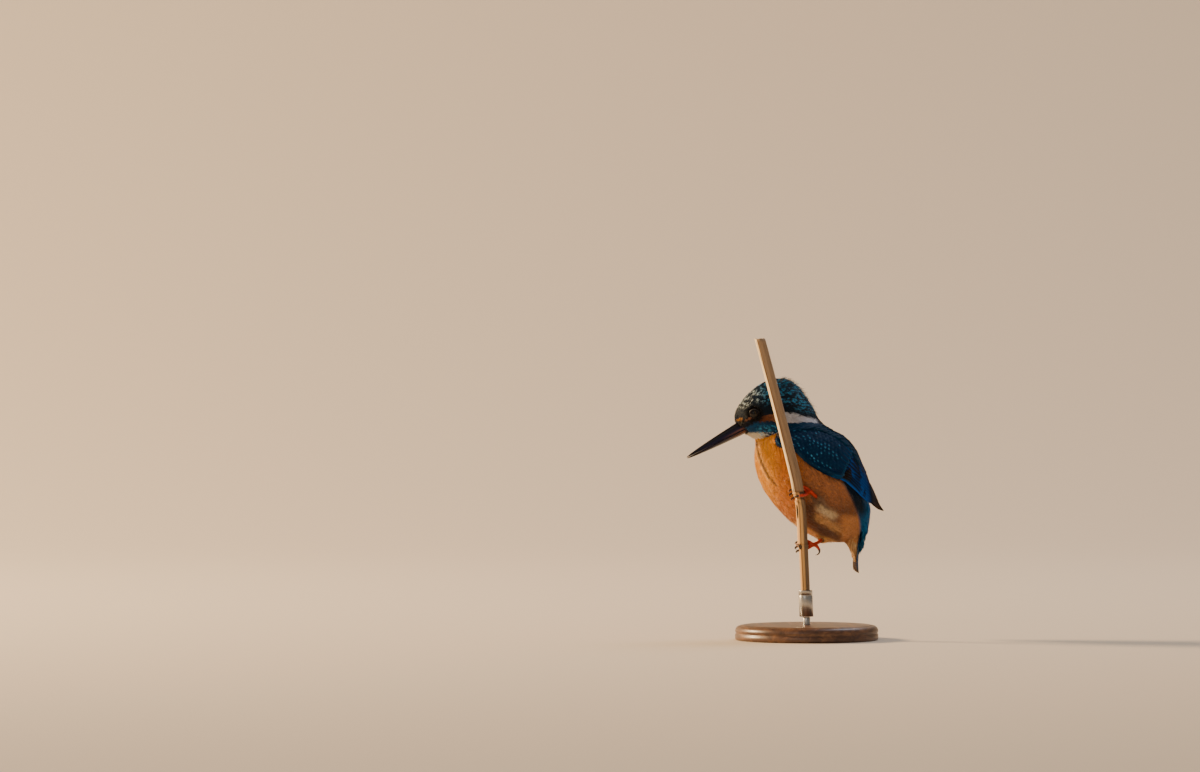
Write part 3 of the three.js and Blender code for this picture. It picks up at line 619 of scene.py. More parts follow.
def body_colour(points):
    """Markings of neck, trunk and tail coverts, with painted light and shade, from points in mm in the
    world.
    """
    x, y, z = np.abs(points[..., 0] - MEDIAN), points[..., 1], points[..., 2]
    run = y + 0.087 * x
    # How far a point lies to the rear and above of the line from shoulder to tail.
    edge_y = np.interp(-z, [-121, -115, -108, -103, -99, -97, -90, -80, -72, -60, -50],
                       [-19, -9, -2.5, 4.5, 12.5, 19.5, 23.5, 28.5, 31.5, 33.0, 33.5])
    rear = y - edge_y
    # Flank chestnut, breast orange, and the front of the breast a brighter yellow orange: the bird's own
    # tones, with the flank darkened as painted shade and the front brightened as painted light.
    rust = blend("b07040", "d2802a", step(4, -12, run))
    rust = blend(rust, "f2a616", step(-12, -25, run) * step(54, 84, z))
    # Belly between the legs: browner as painted shade, with a darker painted shade fold, then a painted
    # highlight as an orange buff edge along its underside.
    belly = step(88, 78, z) * step(-6, 2, run)
    rust = blend(rust, "8a5732", 0.9 * belly)
    gap, _ = off_path(run, z, [(3, 80), (6.3, 69.3), (13, 64.7), (21, 62.7)])
    rust = blend(rust, "5e3a22", 0.8 * step(5.6, 0.5, gap))
    gap, _ = off_path(run, z, [(-6, 68), (1.7, 64.5), (9, 60.2), (17.7, 57)])
    rust = blend(rust, "fbc47a", 0.9 * step(3.6, 1.2, gap))
    # Loose cream down below the fold of the flank, and a paler ridge toward the vent.
    gap, _ = off_path(run, z, [(9.5, 79.5), (13.3, 76.2), (16.5, 75)])
    rust = blend(rust, "efd8ae", 0.85 * step(4.8, 0.2, gap + 1.6 * ripple(points, 2.4, 6)))
    gap, _ = off_path(run, z, [(7.7, 73.4), (16.3, 68.6), (24.5, 64.4)])
    rust = blend(rust, "e2ac6c", 0.8 * step(3.8, 0.2, gap + 1.4 * ripple(points, 2.4, 7)))
    vent = step(20, 24, run) * step(77, 73, z)
    rust = blend(rust, "cf8c4c", vent)
    rust = blend(rust, "a8693a", step(58, 54, z))
    # Greyish down where the thigh leaves the flank.
    gap, _ = off_path(run, z, [(5.5, 86), (9.5, 83.4)])
    rust = blend(rust, "8a7460", 0.8 * step(3.2, 1.4, gap))
    # Painted shadow: the bill's shadow as a thin dark line down the breast, near side only, with a painted
    # highlight beside it. Then painted shade in the fold under the flank.
    bill_shadow_line = [(-29.1, 118.5), (-28.4, 112.8), (-26.7, 107.4), (-24.3, 102), (-21, 96.6), (-17, 92.6)]
    gap, _ = off_path(run, z, bill_shadow_line)
    near = step(-1, 1, points[..., 0] - MEDIAN)
    rust = blend(rust, "3c2012", 0.92 * step(0.85, 0.4, gap) * near)
    painted_highlight = 0.6 * step(0.5, 0.2, np.abs(gap - 1.3)) * step(-18, -24, run) * near
    rust = blend(rust, "f3c880", painted_highlight)
    gap, _ = off_path(run, z, [(7, 84.6), (13, 79.6), (22.3, 76.8), (30, 75.4)])
    rust = blend(rust, "5e3619", 0.5 * step(1.7, 0.4, gap))
    # Azure, darker out at the sides: partly the bird's darker blue, partly painted shade under the wing
    # tip.
    azure = blend("0c2236", "1a78bc", step(13, 7, x))
    azure = blend(azure, "1668a6", step(78, 70, z))
    return blend(rust, azure, step(-1.2, 1.2, rear))


def over_neck_line(local):
    """Height in mm over the line where head meets body, from points in the head's frame."""
    return local[..., 2] - (121.6 + (local[..., 1] + 40) * 0.2)


def plumage_colour(points):
    """Head markings above the neck line, body markings below."""
    share = step(-1.0, 1.0, over_neck_line(world_to_head(points)))
    return blend(body_colour(points), head_colour(points), share)


def flesh_mesh(names, voxel):
    """CAD nodes joined and rebuilt as one even closed surface."""
    joined = bmesh.new()
    for name in names:
        joined.from_mesh(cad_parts[name].data)
    bmesh.ops.remove_doubles(joined, verts=joined.verts, dist=1e-6)
    mesh = bpy.data.meshes.new("flesh")
    joined.to_mesh(mesh)
    joined.free()
    body = bpy.data.objects.new("flesh", mesh)
    bpy.context.collection.objects.link(body)
    remesh = body.modifiers.new("even", "REMESH")
    remesh.mode = "VOXEL"
    remesh.voxel_size = voxel
    made = bpy.data.meshes.new_from_object(body.evaluated_get(bpy.context.evaluated_depsgraph_get()))
    bpy.data.objects.remove(body)
    return outer_shell(made)


def outer_shell(mesh):
    """The mesh without the small closed pockets left inside it."""
    solid = bmesh.new()
    solid.from_mesh(mesh)
    start = max(solid.verts, key=lambda vert: vert.co.z)
    reached, waiting = {start}, [start]
    while waiting:
        for edge in waiting.pop().link_edges:
            for vert in edge.verts:
                if vert not in reached:
                    reached.add(vert)
                    waiting.append(vert)
    bmesh.ops.delete(solid, geom=[vert for vert in solid.verts if vert not in reached], context="VERTS")
    solid.to_mesh(mesh)
    solid.free()
    return mesh


def mesh_arrays(mesh):
    points = np.zeros(len(mesh.vertices) * 3, np.float32)
    mesh.vertices.foreach_get("co", points)
    edges = np.zeros(len(mesh.edges) * 2, np.int32)
    mesh.edges.foreach_get("vertices", edges)
    return points.reshape(-1, 3).astype(float) * 1000, edges.reshape(-1, 2)


def relax(points, edges, times, strength=0.5, hold=None):
    """Moves each point part of the way to its neighbours' middle, times over."""
    count = np.zeros(len(points))
    np.add.at(count, edges.ravel(), 1)
    for _ in range(times):
        total = np.zeros_like(points)
        np.add.at(total, edges[:, 0], points[edges[:, 1]])
        np.add.at(total, edges[:, 1], points[edges[:, 0]])
        moved = (total / count[:, None] - points) * strength
        points = points + (moved if hold is None else moved * hold[:, None])
    return points


def point_normals(mesh):
    normals = np.zeros(len(mesh.vertices) * 3, np.float32)
    mesh.vertex_normals.foreach_get("vector", normals)
    return normals.reshape(-1, 3).astype(float)


def put_points(mesh, points):
    mesh.vertices.foreach_set("co", (points / 1000).astype(np.float32).ravel())
    mesh.update()


FLESH = ["head", "neck", "trunk", "belly", "thigh_left", "thigh_right", "undertail", "uppertail"]
WING_ARM = ["wing_coverts_left", "wing_coverts_right"]
FLESH_CELL = 0.0008  # m, between the points of an even surface
skin_mesh = flesh_mesh(FLESH + WING_ARM, FLESH_CELL)
skin_points, skin_edges = mesh_arrays(skin_mesh)
skin_points = relax(skin_points, skin_edges, 4)
put_points(skin_mesh, skin_points)

EYE_PLACE = head_to_world(EYE_IN_HEAD * [[1, 1, 1], [-1, 1, 1]])
EYE_RADIUS = 3.7  # mm


def face_gaps(points):
    """Points in the head's own frame, with their distances in mm from the eyes and the bill."""
    local = world_to_head(points)
    eye_gap = np.min(np.linalg.norm(points[:, None] - EYE_PLACE[None], axis=-1), axis=1)
    bill_gap, _ = off_path(local[:, 1], local[:, 2], [(-73.2, 109.4), (-33.0, 129.3)])
    return local, eye_gap, np.hypot(bill_gap, np.maximum(np.abs(local[:, 0]) - 4, 0))


# The skin sinks below the plumage: little at the face and vent, and most at neck and trunk.
local, eye_gap, bill_gap = face_gaps(skin_points)
depth = 0.5 + 0.5 * step(-30, -8, local[:, 1])
depth = depth + 0.3 * step(126, 116, skin_points[:, 2])
depth *= step(3.9, 6.0, eye_gap) * step(2.6, 6.0, bill_gap)
depth *= 1 - 0.75 * step(76, 64, skin_points[:, 2]) * step(18, 26, skin_points[:, 1])
skin_points = skin_points - point_normals(skin_mesh) * depth[:, None]
skin_points = relax(skin_points, skin_edges, 3)
# Over the rump it runs smoothly from the back into the tail.
rump = step(26, 32, skin_points[:, 1]) * step(66, 74, skin_points[:, 2]) * step(92, 85, skin_points[:, 2])
skin_points = relax(skin_points, skin_edges, 60, hold=rump)
put_points(skin_mesh, skin_points)
skin_mesh.polygons.foreach_set("use_smooth", [True] * len(skin_mesh.polygons))


def nearest(tree, points, far=1e9):
    """Nearest point, its normal and its distance on a surface, for each point."""
    spot, normal, gap = np.zeros_like(points), np.zeros_like(points), np.full(len(points), 1e9)
    for i, point in enumerate(points):
        found = tree.find_nearest(point, far)
        if found[0] is not None:
            spot[i], normal[i], gap[i] = found[0], found[1], found[3]
    return spot, normal, gap


def node_surface(names):
    """CAD nodes as one surface in mm, for distances."""
    points, faces = [], []
    for name in names:
        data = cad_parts[name].data
        start = len(points)
        points += [tuple(v.co * 1000) for v in data.vertices]
        faces += [tuple(start + i for i in f.vertices) for f in data.polygons]
    return BVHTree.FromPolygons(points, faces)


def paint(mesh, values):
    """Stores a colour at each point as the plume attribute."""
    layer = mesh.color_attributes.new("plume", "FLOAT_COLOR", "POINT")
    rgba = np.ones((len(values), 4), np.float32)
    rgba[:, :3] = values
    layer.data.foreach_set("color", rgba.ravel())


# Down and feather bases: matt and soft, shaded by clumps of barbs 0.7 mm apart, faint sheen.
down = grained_material("feather_down", 0.85, 1.25, 1.4, 3.0, 0.6, painted=(0.62, 1.0), bump=(0.5, 0.0003),
                        Sheen_Weight=0.08, Sheen_Roughness=0.4)

# Under the folded wing the down is slate. The bare rim round the bill is painted black: painted shade at
# the bill's base.
WING_BLADE = [
    "wing_secondaries_left", "wing_secondaries_right", "wing_primaries_left", "wing_primaries_right",
]
wing_surface = node_surface(WING_ARM + WING_BLADE)
under_wing = step(1.4, 0.9, nearest(wing_surface, skin_points, 3.0)[2]) * step(-30, -24, skin_points[:, 1])
skin_shade = np.clip(1 + 0.12 * ripple(skin_points, 4, 1), 0.7, 1.2)[:, None]
skin_paint = blend(plumage_colour(skin_points), "08203a", under_wing)
# Painted shade: the rim round the bill goes near black.
bill_rim_shade = 0.985 * step(6.2, 5.0, bill_gap) * step(-30, -33, local[:, 1])
skin_paint = blend(skin_paint, "0c0a0b", bill_rim_shade)
# The whole skin is painted a fifth darker: partly the greyer bases, partly painted shade below the feather
# tips.
paint(skin_mesh, skin_paint * skin_shade * 0.8)
skin_mesh.materials.clear()
skin_mesh.materials.append(down)
skin = bpy.data.objects.new("skin", skin_mesh)
bpy.context.collection.objects.link(skin)
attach(skin, "root")
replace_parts(skin, *FLESH, *WING_ARM)

skin_tree = BVHTree.FromPolygons(
    [tuple(p) for p in skin_points], [tuple(f.vertices) for f in skin_mesh.polygons],
)

# ---------------------------------------------------------------------------
# Eyes and bill. The eye is a wet dark brown ball, deep in the head, held by a bare lid
# rim. The bill is a long dagger of two horn sheaths over bone, black with a painted violet sheen,
# with a low ridge on top, a slit nostril, and a dull red wash at the base of the lower half.

# The ball is wet, near black at the pupil, and dark brown round it.
iris_gloss, tree, shader = new_material("wet_eye", 0.04, 1.38)
place = add_node(tree, "ShaderNodeAttribute", attribute_name="pupil")
ramp = add_node(tree, "ShaderNodeValToRGB", links={"Fac": place.outputs["Fac"]})
colour_stops(ramp, ((0.5, "030303"), (0.56, "190d08")))
tree.links.new(ramp.outputs["Color"], shader.inputs["Base Color"])

# Lid skin: matt grey black, with creases 0.3 mm apart.
lid_skin = grained_material("eyelid_skin", 0.55, 1.45, 3.2, bump=(0.5, 0.0001),
                            Base_Color=(*linear("0d0d0f"), 1))

for name, side, centre in (("left", 1, EYE_PLACE[0]), ("right", -1, EYE_PLACE[1])):
    gaze = unit(head_to_world(np.array([side * 1.0, -0.32, 0.03])) - head_to_world(np.zeros(3)))
    across = unit(np.cross(gaze, [0, 0, 1.0]))
    upward = np.cross(across, gaze)
    polar = np.linspace(0.02, np.pi - 0.02, 34)
    round_angle = np.arange(48) / 48 * 2 * np.pi
    rings, pupil = [], []
    for a in polar:
        bulge = EYE_RADIUS + 0.22 * math.exp(-(a / 0.55) ** 2)
        ring = centre + bulge * (math.cos(a) * gaze + math.sin(a) * (
            np.cos(round_angle)[:, None] * across + np.sin(round_angle)[:, None] * upward))
        rings.append(ring)
        pupil += [a / 1.1] * 48
    ball = ring_body(f"eyeball_{name}", rings, iris_gloss)
    layer = ball.data.attributes.new("pupil", "FLOAT", "POINT")
    layer.data.foreach_set("value", pupil)
    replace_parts(ball, f"eye_{name}")

    # The lids part in a slightly pointed oval and hug the ball.
    lid_rings = []
    for q in np.arange(64) / 64 * 2 * np.pi:
        opening = 0.86 + 0.05 * math.cos(2 * q)
        opening -= 0.05 * max(0, math.sin(q))
        outward = math.cos(q) * across + math.sin(q) * upward
        ring = []
        for b in np.arange(10) / 10 * 2 * np.pi:
            a = opening + 0.13 * math.cos(b)
            r = EYE_RADIUS + 0.08 + 0.17 * math.sin(b)
            ring.append(centre + r * (math.cos(a) * gaze + math.sin(a) * outward))
        lid_rings.append(ring)
    lids = ring_body(f"eyelids_{name}", lid_rings, lid_skin, closed=True)

GAPE = np.array([0, -32.8, 129.4])
BILL_TIP = np.array([0, -73.2, 109.4])
bill_back = unit(GAPE - BILL_TIP)
bill_up = np.array([0, -bill_back[2], bill_back[1]])

# Horn: black brown, painted with a violet and blue sheen; its colour and gloss wander in patches a mm
# across.
horn = grained_material("bill_horn", 0.3, 1.33, 0.9, 4.0, 0.65, painted=(0.75, 1.3), gloss=(0.2, 0.4),
                        bump=(0.18, 0.00015), Coat_Weight=0.12, Coat_Roughness=0.12)


def mandible(name, side, depth):
    """One half of the bill in rings from tip to base. side is 1 above the gape, -1 below."""
    rings, paint_at = [], []
    sides = 30
    for i in range(64):
        s = 45 * (0.006 + 0.994 * (i / 63) ** 1.25)
        high = depth * min(s / 36, 1) ** (0.66 if side > 0 else 0.56)
        wide = 9.4 / 2 * (s / 38) ** 0.72
        spine = BILL_TIP + bill_back * s
        ring = []
        for j in range(sides + 1):
            across = math.cos(j / sides * math.pi)
            arch = (1 - abs(across) ** 1.5) ** 0.85
            # The ridge stands up between two shallow flutes.
            flute = 0.07 * high * math.exp(-((abs(across) - 0.34) / 0.14) ** 2) * min(1, s / 20)
            nostril = 0
            if side > 0:
                nostril = 0.55 * math.exp(-((s - 38.2) / 2.2) ** 2 - ((abs(across) - 0.62) / 0.1) ** 2)
            edge = 0.12 * math.exp(-((abs(across) - 0.97) / 0.03) ** 2)
            rise = high * arch + 0.15 - flute - nostril * 0.6
            ring.append(spine + np.array([wide * across * (1 + edge * 0.3 - nostril * 0.06), 0, 0])
                        + bill_up * side * (0.15 + rise))
            paint_at.append((s, arch, nostril))
        for across in (-0.9, -0.3, 0.3, 0.9):
            ring.append(spine + np.array([wide * across, 0, 0]) + bill_up * side * 0.15)
            paint_at.append((s, 0, 0))
        rings.append(head_to_world(np.array(ring)))
    piece = ring_body(name, rings, horn)
    s, arch, nostril = np.array(paint_at).T
    # Black, with the sides painted violet blue as a painted sheen, and the last 2 mm painted pale as a
    # painted highlight.
    tint = blend("0a0812", "1e1a40", 0.5 * step(0.7, 0.2, arch) * step(4, 14, s))
    tint = blend(tint, "8f8379", step(2.6, 0.4, s))
    if side < 0:
        tint = blend(tint, "5a2019", 0.45 * step(24, 42, s) * step(0.15, 0.6, arch))
    else:
        # A pinkish stripe along the cutting edge near the base: a painted highlight.
        tint = blend(tint, "8c6052", 0.45 * step(0.3, 0.08, arch) * step(22, 36, s))
    tint = blend(tint, "050405", np.clip(nostril * 2, 0, 1))
    paint(piece.data, tint)
    return piece


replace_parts(mandible("upper_mandible", 1, 4.5), "bill_upper")
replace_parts(mandible("lower_mandible", -1, 2.9), "bill_lower")

# ---------------------------------------------------------------------------
# Legs and feet. Very short legs and small weak feet with coral red skin in fine scales.
# Three toes pass round the reed and the hind toe backs them up. The claws are dark horn.

TOE_RADII = [1.2, 1.0, 0.95, 0.9, 0.85, 0.75]
# Each toe's run round the reed and then its claw's: angles in degrees and heights in mm from
# start to end, and the number of bends between. grip is the distance from the reed's axis.
FEET = {
    "left": {
        "tarsus": [(11.2, 5.4, 85.6), (12.9, 2.6, 88.0), (14.5, 0.0, 90.2)],
        "grip": 5.2,
        "toes": {
            "hallux": ((66, -6, 88.2, 87.2), (-12, -46, 87.1, 86.8), 3),
            "inner": ((122, 202, 92.2, 91.2), (209, 254, 91.1, 89.2), 4),
            "middle": ((120, 214, 90.0, 88.6), (221, 266, 88.5, 86.6), 4),
            "outer": ((118, 200, 87.8, 86.2), (207, 250, 86.1, 84.2), 4),
        },
    },
    "right": {
        "tarsus": [(-4.6, 9.4, 59.8), (0.8, 6.2, 58.2), (5.6, 3.4, 57.4)],
        "grip": 4.25,
        "toes": {
            "inner": ((138, 206, 59.6, 59.4), (213, 262, 59.4, 57.6), 4),
            "middle": ((138, 220, 57.6, 56.5), (228, 278, 56.4, 54.7), 4),
            "outer": ((138, 202, 55.3, 54.2), (209, 256, 54.1, 52.6), 4),
        },
    },
}

# Foot skin: waxy coral red, in overlapping scales about 0.6 mm long, dull where they meet.
foot_skin, tree, shader = new_material(
    "scaled_foot_skin", 0.42, 1.45, Subsurface_Weight=0.12, Subsurface_Scale=0.0006,
)
run = add_node(tree, "ShaderNodeAttribute", attribute_name="grain")
split = add_node(tree, "ShaderNodeSeparateXYZ", links={"Vector": run.outputs["Vector"]})
ramp = add_node(tree, "ShaderNodeValToRGB", links={"Fac": split.outputs["Z"]})
colour_stops(ramp, ((0.0, "641207"), (0.55, "c43415")))
place = add_node(tree, "ShaderNodeTexCoord")
scales = add_node(tree, "ShaderNodeTexVoronoi", {"Scale": 1700.0}, {"Vector": place.outputs["Object"]})
bump = add_node(tree, "ShaderNodeBump", {"Strength": 0.3, "Distance": 0.0001},
                {"Height": scales.outputs["Distance"]})
tree.links.new(ramp.outputs["Color"], shader.inputs["Base Color"])
tree.links.new(bump.outputs["Normal"], shader.inputs["Normal"])

# Claw horn: dark brown clouded about every mm, smooth, nearly glossy.
claw_horn = grained_material("claw_horn", 0.3, 1.55, 1.1, 3.0, tones=((0.0, "191211"), (1.0, "4a3a30")))


def curve_through(points, steps):
    """A smooth curve through points, close to the centripetal one of the solids."""
    points = np.array(points, float)
    ends = np.array([points[0] * 2 - points[1], *points, points[-1] * 2 - points[-2]])
    knots = np.concatenate([[0], np.cumsum(np.linalg.norm(np.diff(ends, axis=0), axis=1) ** 0.5)])
    made = []
    for i in range(1, len(ends) - 2):
        t0, t1, t2, t3 = knots[i - 1:i + 3]
        for t in np.linspace(t1, t2, steps, endpoint=False):
            a1 = (t1 - t) / (t1 - t0) * ends[i - 1] + (t - t0) / (t1 - t0) * ends[i]
            a2 = (t2 - t) / (t2 - t1) * ends[i] + (t - t1) / (t2 - t1) * ends[i + 1]
            a3 = (t3 - t) / (t3 - t2) * ends[i + 1] + (t - t2) / (t3 - t2) * ends[i + 2]
            b1 = (t2 - t) / (t2 - t0) * a1 + (t - t0) / (t2 - t0) * a2
            b2 = (t3 - t) / (t3 - t1) * a2 + (t - t1) / (t3 - t1) * a3
            made.append((t2 - t) / (t2 - t1) * b1 + (t - t1) / (t2 - t1) * b2)
    return np.array(made + [points[-1]])


def tube(points, radii, sides):
    """Rings along a path, with a radius at each point."""
    along = unit(np.gradient(points, axis=0))
    side = np.array([0.31, 0.17, 0.93])
    angle = np.arange(sides) / sides * 2 * np.pi
    rings = []
    for i, point in enumerate(points):
        side = unit(side - side.dot(along[i]) * along[i])
        other = np.cross(along[i], side)
        across = (np.cos(angle) * radii[i])[:, None] * side
        rings.append(point + across + (np.sin(angle) * radii[i])[:, None] * other)
    return np.array(rings)


def beside_stem(degrees, reach, z):
    """The place at an angle round the stem and a distance in mm from its axis."""
    centre, angle = stem_at(z), math.radians(degrees)
    return (centre[0] + reach * math.cos(angle), centre[1] + reach * math.sin(angle), z)


def scaled_limb(points, radii, pads):
    """A toe or shank: scutes as short steps along the top, pads swelling beneath."""
    length = np.concatenate([[0], np.cumsum(np.linalg.norm(np.diff(points, axis=0), axis=1))])
    even = np.arange(0, length[-1], 0.11)
    path = np.stack([np.interp(even, length, points[:, k]) for k in range(3)], -1)
    size = np.interp(even / length[-1], np.linspace(0, 1, len(radii)), radii)
    saw = (even / 0.66) % 1
    step_up = 0.96 + 0.04 * np.sin(np.pi * np.clip(saw * 1.15, 0, 1)) ** 0.6
    swell = 1 + pads * 0.07 * np.cos(even / 2.7 * 2 * np.pi)
    ends = np.minimum(1, np.sqrt(np.clip(np.minimum(even + 0.15, length[-1] - even + 0.3) / 0.7, 0.05, 1)))
    rings = tube(path, size * step_up * swell * ends, 16)
    value = np.repeat(np.clip(np.sin(np.pi * saw) ** 0.5, 0, 1), 16)
    return rings, value


def part_way(first, last, share):
    return first + (last - first) * share


# Each toe's skin runs from the shank's end round the reed, and its claw hooks on from there.
for side, foot in FEET.items():
    palm, grip = foot["tarsus"][-1], foot["grip"]
    limbs = [scaled_limb(curve_through(foot["tarsus"], 12), [1.15, 1.0, 1.25], 0)]
    claws = []
    for name, ((start, end, high, low), claw, bends) in foot["toes"].items():
        points = [palm]
        for t in np.linspace(0, 1, bends + 1):
            points.append(beside_stem(part_way(start, end, t), grip, part_way(high, low, t)))
        limbs.append(scaled_limb(curve_through(points, 10), TOE_RADII, 1))
        hook = []
        for t, rise in ((-0.12, 0), (0, 0), (0.35, 0.75), (0.72, 0.6), (1, -0.35)):
            turn = part_way(claw[0], claw[1], t)
            hook.append(beside_stem(turn, grip + rise, part_way(claw[2], claw[3], t)))
        claws.append((name, hook))
    if side == "right":
        # The lower foot's hind toe hangs free of the reed.
        points = [(5.6, 3.4, 57.4), (6.9, 5.2, 56.6), (7.6, 6.4, 55.0), (7.8, 6.7, 54.2)]
        limbs.append(scaled_limb(curve_through(points, 10), [1.1, 1.0, 0.9, 0.8], 1))
        hook = [(7.7, 6.6, 54.7), (7.8, 6.7, 54.4), (7.9, 6.8, 53.0), (7.5, 5.8, 51.6), (6.9, 4.3, 51.2)]
        claws.append(("hallux", hook))
    bodies, values = zip(*limbs)
    values = np.repeat(np.concatenate(values), 3)
    skin_piece = ring_body(f"foot_skin_{side}", bodies, foot_skin, grain=values)
    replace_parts(skin_piece, f"foot_{side}")
    for name, hook in claws:
        path = curve_through(hook, 8)
        share = np.linspace(0, 1, len(path))
        radii = np.interp(share, [0, 0.2, 0.45, 0.75, 1], [0.6, 0.72, 0.58, 0.34, 0.06])
        piece = ring_body(f"claw_{name}_{side}_horn", tube(path, radii, 14), claw_horn)
        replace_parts(piece, f"claw_{name}_{side}")

# ---------------------------------------------------------------------------
# Contour feathers of head and body. Short soft feathers in staggered rows, each a closed vane
# or a fan of three to six barb strands that lies back over the roots of the next row. They
# are smallest round the bill and eyes, and they stand a little open on the hind crown.


def smooth_rows(stations, t):
    """Values between stations at t from 0 to 1, on the same curve as the solid's."""
    last = len(stations) - 1
    place = np.clip(t, 0, 1) * last
    i = np.minimum(place.astype(int), last - 1)
    w = (place - i)[:, None]
    p0, p1 = stations[np.where(i == 0, i, i - 1)], stations[i]
    p2, p3 = stations[i + 1], stations[np.minimum(i + 2, last)]
    v0, v1 = (p2 - p0) / 2, (p3 - p1) / 2
    return (2 * p1 - 2 * p2 + v0 + v1) * w**3 + (-3 * p1 + 3 * p2 - 2 * v0 - v1) * w**2 + v0 * w + p1


def on_rings(stations, t, angle):
    """Points on a body's rings: t runs front to rear, angle round it from the back."""
    back_y, back_z, belly_y, belly_z, half, sag = smooth_rows(stations, t).T
    up = np.stack([back_y - belly_y, back_z - belly_z], -1)
    reach = np.linalg.norm(up, axis=1)
    c = np.cos(angle)
    rise = (reach / 2 * (c - sag * (1 - c * c)) / reach)[:, None] * up
    middle = np.stack([back_y + belly_y, back_z + belly_z], -1) / 2
    return np.concatenate([(half * np.sin(angle))[:, None], middle + rise], 1)


def staggered(stations, place, rows, gap, seed):
    """Roots in staggered rows over a body: points in mm, with t and angle of each."""
    rng = np.random.default_rng(seed)
    ts, angles = [], []
    for row in range(rows):
        t = (row + 0.5) / rows
        ring = on_rings(stations, np.full(73, t), np.linspace(0, 2 * np.pi, 73))
        girth = np.linalg.norm(np.diff(ring, axis=0), axis=1)
        count = max(int(girth.sum() / gap), 6)
        mark = (np.arange(count) + 0.5 * (row % 2) + rng.uniform(-0.18, 0.18, count)) / count % 1
        along = np.concatenate([[0], np.cumsum(girth)]) / girth.sum()
        angles.append(np.interp(mark, along, np.linspace(0, 2 * np.pi, 73)))
        ts.append(t + rng.uniform(-0.22, 0.22, count) / rows)
    t, angle = np.concatenate(ts), np.concatenate(angles)
    return place(on_rings(stations, t, angle)), t, angle


def along_surface(way, normal):
    """A direction laid into the surface."""
    return unit(way - (way * normal).sum(-1, keepdims=True) * normal)


def through(root, mid, tip, g):
    """The curve from root through mid to tip, at shares g of its run."""
    return (1 - g) * (1 - 2 * g) * root + 4 * g * (1 - g) * mid + g * (2 * g - 1) * tip


def copies(faces, bodies, per):
    """One body's faces for each of many bodies of per points. -1 stands for a missing corner."""
    faces = np.array(faces)[None]
    return np.where(faces >= 0, faces + (np.arange(bodies) * per)[:, None, None], -1).reshape(-1, 4)


def grow_tufts(root, mid, tip, side, normal, half, thick, seed, strands=5, rings=(0.0, 0.5, 0.85),
               uneven=0.16):
    """Strands of triangular section, fanned across each feather.

    Returns points, faces, how far along (0 to 1) and across (-1 to 1) each point is, and
    its feather's number. Each feather follows a curve through root, mid and tip."""
    rng = np.random.default_rng(seed)
    n = len(root)
    stations = len(rings)
    across = np.linspace(-1, 1, strands)[None] + rng.uniform(-0.5, 0.5, (n, strands)) / strands
    reach = 1 - 0.3 * across**2 + rng.uniform(-uneven, 0.6 * uneven, (n, strands))
    a = np.array(list(rings) + [1.0])[None, None] * reach[..., None]
    fan = 0.35 + 0.65 * np.sin(np.pi / 2 * np.minimum(a / 0.65, 1))
    line = through(root[:, None, None], mid[:, None, None], tip[:, None, None], a[..., None])
    line = line + side[:, None, None] * (half[:, None, None] * across[..., None] * fan)[..., None]
    sink = -0.12 * half[:, None, None] * (across[..., None] ** 2) * fan
    line = line + normal[:, None, None] * (sink + rng.uniform(-0.06, 0.06, (n, strands, 1)))[..., None]
    girth = np.array([0.8] + [1.0] * (stations - 2) + [0.6])
    wide = (thick * half / strands * 2)[:, None, None] * girth[None, None]
    body = line[:, :, :stations]
    left = body - side[:, None, None] * wide[..., None]
    right = body + side[:, None, None] * wide[..., None]
    above = unit(np.cross(side[:, None, None], np.gradient(line, axis=2)))[:, :, :stations]
    ridge = body + above * (wide * 0.32)[..., None]
    ring = np.stack([left, right, ridge], 3).reshape(n * strands, stations * 3, 3)
    points = np.concatenate([ring, line[:, :, stations].reshape(n * strands, 1, 3)], 1)
    per = stations * 3 + 1
    faces = [(0, 1, 2, -1)]
    for k in range(stations - 1):
        o = 3 * k
        faces += [(o, o + 3, o + 4, o + 1), (o + 1, o + 4, o + 5, o + 2), (o + 2, o + 5, o + 3, o)]
    o = 3 * (stations - 1)
    faces += [(o, per - 1, o + 1, -1), (o + 1, per - 1, o + 2, -1), (o + 2, per - 1, o, -1)]
    far = np.concatenate([np.repeat(a[..., :stations], 3, axis=-1), a[..., stations:]], -1)
    wide_share = np.repeat(across[..., None], per, axis=-1)
    owner = np.repeat(np.arange(n), strands * per)
    return points.reshape(-1, 3), copies(faces, n * strands, per), far.ravel(), wide_share.ravel(), owner


